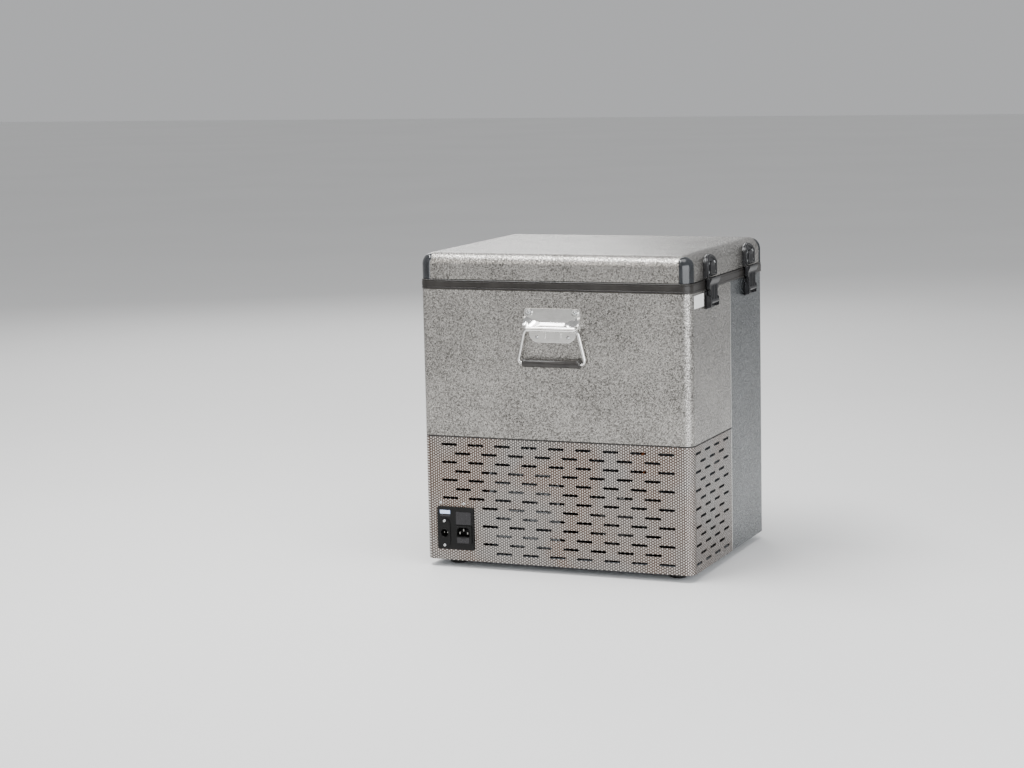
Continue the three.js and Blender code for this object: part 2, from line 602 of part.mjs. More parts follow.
function buildLid() {
  const hollow = lidBlock(LID.wall, LID.bottom - 1, LID.top - LID.wall, 4);
  add('lid_shell', cut(lidBlock(0, LID.bottom, LID.top), hollow), FINISH.embossed);

  const flangeLow = 486;
  const flangeTop = flangeLow + 2;
  const flange = prismZ(roundedRect(LID.x - 2.5, LID.y - 2.5, LID.corner - 2.5), flangeLow, flangeTop);
  const plug = { x: TUB.x - 5, y: TUB.y - 5, corner: TUB.corner - 3, bottom: 471 };
  const cup = prismZ(roundedRect(plug.x, plug.y, plug.corner), plug.bottom, flangeTop, 4);
  const holeShape = roundedRect(plug.x - 2, plug.y - 2, plug.corner - 2);
  const hole = prismZ(holeShape, plug.bottom + 2, flangeTop + 2, 4);
  add('lid_liner', cut(join(flange, cup), hole), FINISH.liner);

  const core = lidBlock(LID.wall + 1.2, flangeTop + GAP, LID.top - LID.wall - 1.2, 3);
  const fillShape = roundedRect(plug.x - 2.4, plug.y - 2.4, plug.corner - 2.4);
  const fill = prismZ(fillShape, plug.bottom + 2.4, flangeTop + 2, 4);
  add('lid_foam', join(core, fill), FINISH.foam);

  const sealOuter = roundedRect(TUB.x + 16, TUB.y + 16, TUB.corner + 10);
  const sealInner = roundedRect(TUB.x + 3, TUB.y + 3, TUB.corner);
  add('lid_gasket', ring(sealOuter, sealInner, BAND.top + GAP, flangeLow - GAP), FINISH.rubber);

  const halfTurn = new THREE.Matrix4().makeRotationZ(Math.PI);
  const frontRight = cornerCap();
  const frontLeft = toGeometry(toSolid(frontRight).mirror([1, 0, 0]));
  add('corner_cap_front_right', frontRight, FINISH.gloss);
  add('corner_cap_rear_left', frontRight.clone().applyMatrix4(halfTurn), FINISH.gloss);
  add('corner_cap_front_left', frontLeft, FINISH.gloss);
  add('corner_cap_rear_right', frontLeft.clone().applyMatrix4(halfTurn), FINISH.gloss);
}

function buildHinges() {
  const { x, z, knuckle, pin, width } = HINGE;
  const third = width / 6;
  const bore = rod([x, -80, z], [x, 80, z], pin + GAP, 12);
  HINGE.offsets.forEach((y, index) => {
    const group = new THREE.Group();
    group.position.y = y;
    object.add(group);
    const name = ['front', 'rear'][index];

    const wall = -BODY.x - GAP;
    const body = [box(wall - 2.6, wall, -width / 2, width / 2, 436, 463)];
    for (const [y0, y1] of [[-width / 2, -third - GAP], [third + GAP, width / 2]]) {
      body.push(box(-BODY.x - 2.5, -BODY.x - BAND.proud - GAP, y0, y1, 460, z + 2));
      body.push(box(wall - 2.6, wall - 1, y0, y1, 460, 464));
      body.push(box(x - 3, -BODY.x - BAND.proud - GAP, y0, y1, z - 4, z + 1));
      body.push(rod([x, y0, z], [x, y1, z], knuckle, 14));
    }
    add(`hinge_${name}_body_leaf`, cut(join(...body), bore), FINISH.chrome, group);

    const lidWall = -LID.x - GAP;
    const reach = third - GAP;
    const lid = [
      box(lidWall - 2, lidWall, -width / 2, width / 2, 484, 508),
      box(x, lidWall, -reach, reach, 482.6, 486),
      box(x - 4, x + 1, -reach, reach, z + 3, 486),
      rod([x, -reach, z], [x, reach, z], knuckle, 14),
    ];
    add(`hinge_${name}_lid_leaf`, cut(join(...lid), bore), FINISH.chrome, group);
    add(`hinge_${name}_pin`, rod([x, -width / 2, z], [x, width / 2, z], pin, 12), FINISH.chrome, group);
  });
}

// ---------------------------------------------------------------- controls, label and basket
function buildControls() {
  const back = -BODY.x - GAP;
  const face = back - CONTROL.depth;
  const centre = [(CONTROL.y0 + CONTROL.y1) / 2, (CONTROL.z0 + CONTROL.z1) / 2];
  const outline = roundedRect((CONTROL.y1 - CONTROL.y0) / 2, (CONTROL.z1 - CONTROL.z0) / 2, 5, ...centre);
  const screen = { y0: CONTROL.y0 + 8, y1: CONTROL.y1 - 34, z0: CONTROL.z0 + 12, z1: CONTROL.z1 - 9 };
  const tools = [box(face - 1, face + 2.4, screen.y0, screen.y1, screen.z0, screen.z1)];
  const places = { power: [-52, 406], up: [-60, 388], down: [-44, 388] };
  const floor = face + BUTTON.travel + 2.6;
  for (const [y, z] of Object.values(places)) {
    const w = BUTTON.width / 2 + GAP;
    const h = BUTTON.height / 2 + GAP;
    tools.push(box(face - 1, floor, y - w, y + w, z - h, z + h));
  }
  add('control_bezel', cut(prismX(outline, face, back, 4), ...tools), FINISH.black);
  add('control_display', box(face + 0.8, face + 2.1, screen.y0 + GAP, screen.y1 - GAP,
    screen.z0 + GAP, screen.z1 - GAP), FINISH.lamp);
  for (const [name, [y, z]] of Object.entries(places)) {
    const button = box(face - BUTTON.proud, floor - BUTTON.travel - 0.6,
      y - BUTTON.width / 2, y + BUTTON.width / 2, z - BUTTON.height / 2, z + BUTTON.height / 2);
    add(`button_${name}`, button, FINISH.rubber);
  }
  const stuck = BODY.x + GAP;
  const film = box(stuck, stuck + LABEL.thickness, LABEL.y0, LABEL.y1, LABEL.z0, LABEL.z1);
  add('side_label', film, FINISH.label);
}

function buildBasket() {
  const { x, y0, y1, z0, z1, wire, rings, columns } = BASKET;
  const half = wire / 2;
  const bars = [];
  for (let i = 0; i < rings; i += 1) {
    const z = z0 + half + (i * (z1 - z0 - wire)) / (rings - 1);
    const outer = box(-x, x, y0, y1, z - half, z + half);
    bars.push(cut(outer, box(-x + wire, x - wire, y0 + wire, y1 - wire, z - wire, z + wire)));
  }
  for (let i = 0; i < columns; i += 1) {
    const cx = -x + wire + 10 + (i * 2 * (x - wire - 10)) / (columns - 1);
    bars.push(box(cx - 1, cx + 1, y0 + 0.4, y0 + 2.6, z0 + 1, z1 - 1));
    bars.push(box(cx - 1, cx + 1, y1 - 2.6, y1 - 0.4, z0 + 1, z1 - 1));
    bars.push(box(cx - 1, cx + 1, y0 + 1, y1 - 1, z0 + 0.5, z0 + 2.5));
  }
  for (const side of [-1, 1]) {
    for (const cy of [y0 + 33, y1 - 33]) {
      bars.push(box(side * (x - 1.5) - 1, side * (x - 1.5) + 1, cy - 1, cy + 1, z0 + 1, z1 - 1));
    }
  }
  add('wire_basket', join(...bars), FINISH.wire);
}

buildBase();
buildSkins();
buildInsulation();
buildCompressor();
buildCondenser();
buildFan();
buildPlumbing();
buildPowerPanel();
buildHandle('front', 0);
buildHandle('rear', Math.PI);
buildLatches();
buildLid();
buildHinges();
buildControls();
buildBasket();

export default object;
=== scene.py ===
"""Looks of the compressor cooler fridge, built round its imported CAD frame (metres, +Z up)."""
import logging
import math
from dataclasses import dataclass, field
from enum import Enum
from typing import Callable, Iterable, Sequence

import bmesh
import bpy
from mathutils import Matrix, Quaternion, Vector


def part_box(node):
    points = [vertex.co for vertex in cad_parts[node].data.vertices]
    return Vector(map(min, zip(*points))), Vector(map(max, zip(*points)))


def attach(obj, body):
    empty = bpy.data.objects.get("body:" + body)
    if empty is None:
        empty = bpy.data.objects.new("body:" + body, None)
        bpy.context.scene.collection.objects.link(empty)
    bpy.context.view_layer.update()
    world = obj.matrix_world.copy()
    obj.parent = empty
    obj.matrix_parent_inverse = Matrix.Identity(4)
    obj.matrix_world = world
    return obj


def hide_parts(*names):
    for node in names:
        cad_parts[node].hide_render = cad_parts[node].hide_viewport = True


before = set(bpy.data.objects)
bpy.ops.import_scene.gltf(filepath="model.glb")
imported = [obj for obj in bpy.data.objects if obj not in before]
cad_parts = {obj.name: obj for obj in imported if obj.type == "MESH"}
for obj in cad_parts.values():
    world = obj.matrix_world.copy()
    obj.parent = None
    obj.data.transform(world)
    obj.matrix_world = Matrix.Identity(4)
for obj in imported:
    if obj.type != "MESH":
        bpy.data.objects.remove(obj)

LOG = logging.getLogger("cooler_fridge")
MM = 0.001
FLOAT3 = tuple[float, float, float]
POINT2 = tuple[float, float]

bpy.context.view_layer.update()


# ----------------------------------------------------------------------------- colour and nodes
def srgb(code: str) -> tuple[float, float, float, float]:
    """Turn an sRGB hex code into a linear RGBA colour.

    Args:
        code: Six hex digits, without a leading hash.

    Returns:
        Linear red, green and blue, with an alpha of one.
    """
    channels = [int(code[i:i + 2], 16) / 255 for i in (0, 2, 4)]
    linear = [c / 12.92 if c <= 0.04045 else ((c + 0.055) / 1.055) ** 2.4 for c in channels]
    return (linear[0], linear[1], linear[2], 1.0)


class Graph:
    """A node material with a Principled shader and a short way to add nodes."""

    def __init__(self, name: str) -> None:
        """Make an empty material.

        Args:
            name: The material's name.
        """
        self.material = bpy.data.materials.new(name)
        self.material.use_nodes = True
        self.tree = self.material.node_tree
        self.shader = self.tree.nodes["Principled BSDF"]
        self.place = self.add("ShaderNodeTexCoord").outputs["Object"]

    def add(self, kind: str, inputs: dict | None = None, **settings) -> bpy.types.Node:
        """Add a node, set its options and fill or link its inputs.

        Args:
            kind: The node's type name.
            inputs: Input name or number mapped to a value or to an output socket.
            **settings: Options of the node itself.

        Returns:
            The new node.
        """
        node = self.tree.nodes.new(kind)
        for key, value in settings.items():
            setattr(node, key, value)
        for key, value in (inputs or {}).items():
            self.feed(node.inputs[key], value)
        return node

    def feed(self, socket: bpy.types.NodeSocket, value: object) -> None:
        """Link a socket to an output, or set its value.

        Args:
            socket: The input to fill.
            value: An output socket or a plain value.
        """
        if isinstance(value, bpy.types.NodeSocket):
            self.tree.links.new(value, socket)
        else:
            socket.default_value = value

    def math(self, operation: str, first: object, second: object = 0.0) -> bpy.types.NodeSocket:
        """Add a Math node and return its output."""
        return self.add("ShaderNodeMath", {0: first, 1: second}, operation=operation).outputs[0]

    def noise(self, size_mm: float, detail: float = 2.0, rough: float = 0.5,
              warp: float = 0.0) -> bpy.types.NodeSocket:
        """Return a noise value whose features are size_mm across.

        Args:
            size_mm: The size of one feature.
            detail: How many finer layers it has.
            rough: How strong the finer layers are.
            warp: How much it is distorted.

        Returns:
            The output socket.
        """
        return self.add("ShaderNodeTexNoise", {
            "Vector": self.place, "Scale": 1 / (size_mm * MM), "Detail": detail,
            "Roughness": rough, "Distortion": warp,
        }).outputs["Fac"]

    def span(self, value: bpy.types.NodeSocket, low: float, high: float, to_low: float = 0.0,
             to_high: float = 1.0) -> bpy.types.NodeSocket:
        """Map the range low..high onto to_low..to_high, clamped.

        Args:
            value: The value to map.
            low: The low end of the range.
            high: The high end of the range.
            to_low: What the low end becomes.
            to_high: What the high end becomes.

        Returns:
            The output socket.
        """
        return self.add("ShaderNodeMapRange", {
            "Value": value, "From Min": low, "From Max": high, "To Min": to_low, "To Max": to_high,
        }).outputs["Result"]

    def blend(self, factor: object, first: object, second: object) -> bpy.types.NodeSocket:
        """Mix two colours by a factor."""
        node = self.add("ShaderNodeMix", {0: factor, 6: first, 7: second}, data_type="RGBA")
        return node.outputs[2]

    def bump(self, height: bpy.types.NodeSocket, depth_mm: float, strength: float = 1.0,
             under: bpy.types.NodeSocket | None = None) -> bpy.types.NodeSocket:
        """Return a normal bumped by a height of depth_mm, on top of another normal.

        Args:
            height: The height, from zero to one.
            depth_mm: The relief at a height of one.
            strength: How much of the relief shows.
            under: The normal that it adds to, if any.

        Returns:
            The output socket.
        """
        inputs = {"Height": height, "Distance": depth_mm * MM, "Strength": strength}
        if under is not None:
            inputs["Normal"] = under
        return self.add("ShaderNodeBump", inputs).outputs["Normal"]

    def surface(self, **sockets: object) -> bpy.types.Material:
        """Fill the shader's sockets by name, with underscores for spaces, and return the material.

        Args:
            **sockets: The value or socket for each of the shader's inputs.

        Returns:
            The material.
        """
        for name, value in sockets.items():
            self.feed(self.shader.inputs[name.replace("_", " ")], value)
        return self.material


# ----------------------------------------------------------------------------- finishes
@dataclass(frozen=True)
class StuccoSheet:
    """Coated aluminium sheet with an embossed orange-peel grain."""

    # Low hills in a bright, satin metal: each one takes a small highlight, so that the flat side
    # sparkles and a wide reflection breaks up into grains. The base colour is also painted lighter on
    # the hills and darker in the hollows: a painted highlight and painted shade of the grain.
    # The real grain is finer than a picture shows, so it is drawn as coarse as it needs to show.
    name: str
    light: str
    dark: str
    grain_mm: float = 2.3
    depth_mm: float = 0.17
    roughness: float = 0.27
    metallic: float = 0.85

    def build(self) -> bpy.types.Material:
        """Return the node material.

        Returns:
            The material.
        """
        graph = Graph(self.name)
        grain = graph.noise(self.grain_mm, 1.5, 0.55, 0.9)
        cells = graph.add("ShaderNodeTexVoronoi", {
            "Vector": graph.place, "Scale": 1 / (self.grain_mm * 1.15 * MM), "Smoothness": 0.7,
        }, feature="SMOOTH_F1").outputs["Distance"]
        hills = graph.math("ADD", graph.span(grain, 0.34, 0.66), graph.math("MULTIPLY", cells, -0.7))
        wide = graph.noise(85, 3.0)
        # Painted highlight and painted shade: the colour is lighter on the hills and darker in the hollows,
        # with a random wide tone on top.
        tone = graph.math("ADD", graph.span(hills, -0.3, 0.6, 0.0, 0.8), graph.span(wide, 0.3, 0.7, 0.0, 0.2))
        shade = graph.blend(tone, srgb(self.dark), srgb(self.light))
        low, high = self.roughness - 0.06, self.roughness + 0.08
        return graph.surface(
            Base_Color=shade,
            Metallic=self.metallic,
            Roughness=graph.span(hills, -0.4, 0.7, high, low),
            Normal=graph.bump(hills, self.depth_mm),
        )


@dataclass(frozen=True)
class DimpledStainless:
    """Bright stainless sheet rolled with a close staggered pattern of round dimples."""

    # Pips painted near white on a darker, slightly brown field, a painted highlight on each dimple:
    # the sheet reads as a fine regular weave with a soft cloud over it. The real dimples are closer
    # together than this, and they are drawn as coarse as they need to show.
    name: str
    column_mm: float = 4.0
    row_mm: float = 4.5
    dimple_mm: float = 1.7
    depth_mm: float = 0.55

    def dimples(self, graph: Graph) -> bpy.types.NodeSocket:
        """Return a height that is one at the middle of each dimple and zero between them.

        Args:
            graph: The material's graph.

        Returns:
            The height's output socket.
        """
        parts = graph.add("ShaderNodeSeparateXYZ", {0: graph.place})
        along = graph.math("ADD", parts.outputs["X"], parts.outputs["Y"])
        column = graph.math("DIVIDE", along, self.column_mm * MM)
        odd = graph.math("PINGPONG", graph.math("FLOOR", column), 1.0)
        row = graph.math("DIVIDE", parts.outputs["Z"], self.row_mm * MM)
        shifted = graph.math("ADD", row, graph.math("MULTIPLY", odd, 0.5))
        centred = [graph.math("SUBTRACT", graph.math("FRACT", place), 0.5) for place in (column, shifted)]
        across = graph.math("MULTIPLY", centred[0], self.column_mm)
        upward = graph.math("MULTIPLY", centred[1], self.row_mm)
        square = graph.math("ADD", graph.math("POWER", across, 2.0), graph.math("POWER", upward, 2.0))
        return graph.span(graph.math("SQRT", square), self.dimple_mm, 0.2)

    def build(self) -> bpy.types.Material:
        """Return the node material.

        Returns:
            The material.
        """
        graph = Graph(self.name)
        dimples = self.dimples(graph)
        wide = graph.noise(110, 2.0, 0.5, 0.6)
        field = graph.blend(graph.span(wide, 0.38, 0.62), srgb("5b5856"), srgb("55473f"))
        # Painted highlight: each dimple is painted near white over the field.
        shade = graph.blend(dimples, field, srgb("e0dcd7"))
        haze = graph.span(graph.noise(9, 3.0), 0.3, 0.7, 0.2, 0.32)
        return graph.surface(
            Base_Color=shade,
            Metallic=0.9,
            Roughness=haze,
            Normal=graph.bump(dimples, self.depth_mm, 1.0, graph.bump(wide, 0.6, 0.4)),
        )


@dataclass(frozen=True)
class BrushedMetal:
    """Plated or mill-finish metal with fine brushing along one axis and a faint haze."""

    # Reflections run along the brushing, and the haze keeps them from looking like a mirror. Chrome
    # gives hard bright lines, zinc a dull grey gleam, copper a warm one. Real brushing is too
    # fine to show, so it is drawn as coarse as it needs to show.
    name: str
    light: str
    dark: str
    roughness: float = 0.2
    metallic: float = 1.0
    brush_mm: FLOAT3 = (8.0, 0.25, 0.25)
    depth_mm: float = 0.01

    def build(self) -> bpy.types.Material:
        """Return the node material.

        Returns:
            The material.
        """
        graph = Graph(self.name)
        scale = tuple(1 / (size * MM) for size in self.brush_mm)
        stretched = graph.add("ShaderNodeVectorMath", {0: graph.place, 1: scale}, operation="MULTIPLY")
        brush = graph.add("ShaderNodeTexNoise", {
            "Vector": stretched.outputs[0], "Scale": 1.0, "Detail": 2.0,
        }).outputs["Fac"]
        cloud = graph.noise(14, 3.0, 0.6)
        tone = graph.math("ADD", graph.span(brush, 0.3, 0.7, 0, 0.5), graph.span(cloud, 0.3, 0.7, 0, 0.5))
        return graph.surface(
            Base_Color=graph.blend(tone, srgb(self.dark), srgb(self.light)),
            Metallic=self.metallic,
            Roughness=graph.span(cloud, 0.3, 0.7, self.roughness * 0.8, self.roughness * 1.35),
            Normal=graph.bump(brush, self.depth_mm, 0.6),
        )


@dataclass(frozen=True)
class MouldedPlastic:
    """Moulded plastic with a spark-eroded grain, a soft mottle and a few scuffs."""

    # The grain spreads highlights into a soft sheen, and the mottle and the scuffs keep a wide
    # surface from looking flat. A coat makes the glossy kinds, such as the corner caps. Rubber
    # has a high roughness and hardly any gleam. The real grain is too fine to show, so it is drawn
    # as coarse as it needs to show.
    name: str
    light: str
    dark: str
    roughness: float = 0.45
    grain_mm: float = 0.8
    depth_mm: float = 0.03
    coat: float = 0.0
    gloss: float = 0.3

    def build(self) -> bpy.types.Material:
        """Return the node material.

        Returns:
            The material.
        """
        graph = Graph(self.name)
        grain = graph.noise(self.grain_mm, 2.0, 0.6)
        mottle = graph.noise(22, 4.0, 0.6)
        scuffs = graph.span(graph.noise(5, 6.0, 0.75, 1.5), 0.62, 0.74)
        shade = graph.blend(graph.span(mottle, 0.3, 0.7), srgb(self.dark), srgb(self.light))
        rough = graph.span(mottle, 0.3, 0.7, self.roughness * 0.85, self.roughness * 1.1)
        return graph.surface(
            Base_Color=shade,
            Roughness=graph.math("ADD", rough, graph.math("MULTIPLY", scuffs, 0.12)),
            Specular_IOR_Level=self.gloss,
            Coat_Weight=self.coat,
            Coat_Roughness=0.08,
            Normal=graph.bump(grain, self.depth_mm, 0.8),
        )


@dataclass(frozen=True)
class CutFoam:
    """Rigid foam with open cells where it was trimmed."""

    # Pale yellow and quite dull, with small cells that give it a crumbly look.
    name: str

    def build(self) -> bpy.types.Material:
        """Return the node material.

        Returns:
            The material.
        """
        graph = Graph(self.name)
        cells = graph.add("ShaderNodeTexVoronoi", {"Vector": graph.place, "Scale": 900.0}).outputs["Distance"]
        shade = graph.blend(graph.span(cells, 0.0, 0.7), srgb("b9a868"), srgb("e2d59c"))
        return graph.surface(Base_Color=shade, Roughness=0.9, Normal=graph.bump(cells, 0.4))


@dataclass(frozen=True)
class LampWindow:
    """Tinted window with faint internal facets."""

    # A smooth face with a weak glow of its own, and facets that break the tint up a little.
    name: str
    light: str
    dark: str
    glow: float = 0.25

    def build(self) -> bpy.types.Material:
        """Return the node material.

        Returns:
            The material.
        """
        graph = Graph(self.name)
        cells = graph.add("ShaderNodeTexVoronoi", {"Vector": graph.place, "Scale": 650.0})
        facets = cells.outputs["Distance"]
        shade = graph.blend(graph.span(facets, 0.0, 0.8), srgb(self.light), srgb(self.dark))
        return graph.surface(
            Base_Color=shade,
            Roughness=0.18,
            Emission_Color=shade,
            Emission_Strength=self.glow,
            Normal=graph.bump(facets, 0.05, 0.5),
        )


class Finish(Enum):
    """Every finish on the object, named after the material that it is."""

    STUCCO = StuccoSheet("stucco_embossed_aluminium", "bab7b2", "484643")
    # Painted shade: the rear shell is the same sheet as the front, painted darker and bluer for shade.
    STUCCO_REAR = StuccoSheet("stucco_aluminium_rear_painted_shade", "7e8284", "35383a")
    VENT = DimpledStainless("dimpled_stainless_sheet")
    GALVANISED = BrushedMetal("galvanised_steel", "9aa0a4", "767b80", 0.42, 0.85, (6.0, 6.0, 6.0), 0.03)
    CHROME = BrushedMetal("bright_chrome_plate", "f0efec", "c9c8c5", 0.1, 1.0, (10.0, 0.4, 0.4), 0.004)
    ZINC = BrushedMetal("zinc_plated_screw", "d2d3d2", "9d9fa0", 0.24, 1.0, (0.6, 0.6, 0.6), 0.01)
    MILL = BrushedMetal("mill_aluminium_fin", "b4b7b9", "878b8f", 0.35, 1.0, (9.0, 0.5, 0.5), 0.02)
    COPPER = BrushedMetal("copper_tube", "c8794b", "8d4a2b", 0.3, 1.0, (0.5, 3.0, 3.0), 0.02)
    CONTACT = BrushedMetal("nickel_plated_contact", "a9a8a4", "7d7c79", 0.3, 1.0, (0.5, 4.0, 0.5), 0.01)
    BAND = MouldedPlastic("dark_grey_rim_plastic", "2f2d2b", "211f1d", 0.34, 1.0, 0.03)
    CAP = MouldedPlastic("glossy_corner_plastic", "2b2d30", "1d1f21", 0.2, 1.4, 0.012, 0.4)
    LATCH = MouldedPlastic("black_latch_nylon", "1d1d1f", "101011", 0.36, 0.9, 0.03, 0.1)
    PANEL = MouldedPlastic("black_socket_plastic", "101010", "080808", 0.46, 0.9, 0.01, 0.0, 0.2)
    PATCH = MouldedPlastic("smoked_cover_plastic", "201f22", "151417", 0.28, 2.0, 0.01, 0.2)
    RUBBER = MouldedPlastic("black_rubber", "2d2c2b", "1e1d1d", 0.62, 1.1, 0.06)
    GRIP = MouldedPlastic("handle_grip_rubber", "32302e", "211f1e", 0.34, 1.6, 0.03, 0.1)
    LINER = MouldedPlastic("pale_liner_plastic", "e2e4e4", "d3d6d6", 0.32, 2.5, 0.02, 0.1)
    SEAL = MouldedPlastic("grey_magnetic_seal", "6d6f70", "595b5c", 0.6, 1.0, 0.05)
    ENAMEL = MouldedPlastic("black_compressor_enamel", "232426", "141516", 0.3, 1.8, 0.03, 0.4)
    WIRE = MouldedPlastic("white_dipped_wire", "e9ebea", "d6d9d9", 0.35, 0.6, 0.03, 0.2)
    LABEL = MouldedPlastic("blank_label_film", "e6e6e3", "d9d9d6", 0.5, 3.0, 0.01)
    SILVER = MouldedPlastic("satin_silver_trim", "b7b7b5", "9c9c9a", 0.35, 1.0, 0.01)
    FOAM = CutFoam("rigid_insulation_foam")
    LAMP = LampWindow("pale_blue_lamp_window", "dfe8fb", "a9bfe6", 0.35)
    SCREEN = LampWindow("dark_display_window", "1a2a38", "0c141c", 0.1)

    def material(self) -> bpy.types.Material:
        """Return this finish's material, building it on first use."""
        found = bpy.data.materials.get(self.value.name)
        return found or self.value.build()


# ----------------------------------------------------------------------------- outlines
def arc(cx: float, cy: float, rx: float, start: float, end: float, steps: int,
        ry: float | None = None) -> list[POINT2]:
    """Return points on a circular or elliptical arc, in degrees.

    Args:
        cx: The centre on the first axis.
        cy: The centre on the second axis.
        rx: The radius on the first axis.
        start: The first angle, in degrees.
        end: The last angle, in degrees.
        steps: How many segments.
        ry: The radius on the second axis, where it differs.

    Returns:
        The points, with both ends.
    """
    tall = rx if ry is None else ry
    turns = [math.radians(start + (end - start) * i / steps) for i in range(steps + 1)]
    return [(cx + rx * math.cos(t), cy + tall * math.sin(t)) for t in turns]


def circle(radius: float, steps: int) -> list[POINT2]:
    """Return the points of a circle round the origin."""
    turns = [2 * math.pi * i / steps for i in range(steps)]
    return [(radius * math.cos(turn), radius * math.sin(turn)) for turn in turns]


def rounded_rect(half_x: float, half_y: float, radius: float, steps: int = 10, cx: float = 0.0,
                 cy: float = 0.0) -> list[POINT2]:
    """Return an anticlockwise rounded rectangle.

    Args:
        half_x: Half its width.
        half_y: Half its height.
        radius: The radius of its corners.
        steps: Segments in each corner.
        cx: Its centre on the first axis.
        cy: Its centre on the second axis.

    Returns:
        Its points.
    """
    points: list[POINT2] = []
    for sx, sy, start in ((1, -1, -90), (1, 1, 0), (-1, 1, 90), (-1, -1, 180)):
        x, y = cx + sx * (half_x - radius), cy + sy * (half_y - radius)
        points += arc(x, y, radius, start, start + 90, steps)
    return points


def rounded_polygon(corners: Sequence[POINT2], radius: float, steps: int = 4) -> list[POINT2]:
    """Round every corner of a closed polygon with a curve that starts radius away from it.

    Args:
        corners: The sharp corners, in order.
        radius: How far from a corner its curve starts.
        steps: Segments in each curve.

    Returns:
        The points of the rounded outline.
    """
    points: list[POINT2] = []
    count = len(corners)
    for i, corner in enumerate(corners):
        here = Vector(corner)
        before = Vector(corners[i - 1]) - here
        after = Vector(corners[(i + 1) % count]) - here
        start = here + before.normalized() * min(radius, before.length * 0.49)
        end = here + after.normalized() * min(radius, after.length * 0.49)
        for k in range(steps + 1):
            t = k / steps
            point = start * (1 - t) ** 2 + here * 2 * t * (1 - t) + end * t ** 2
            points.append((point.x, point.y))
    return points


# ----------------------------------------------------------------------------- mesh making
class Plane(Enum):
    """Where an outline's two axes and its depth point."""

    XZ = ((1, 0, 0), (0, 0, 1), (0, 1, 0))
    YZ = ((0, 1, 0), (0, 0, 1), (1, 0, 0))

    def at(self, u: float, v: float, w: float) -> Vector:
        """Return the point at u and v on the outline's axes and w on its depth axis."""
        first, second, depth = (Vector(axis) for axis in self.value)
        return first * u + second * v + depth * w


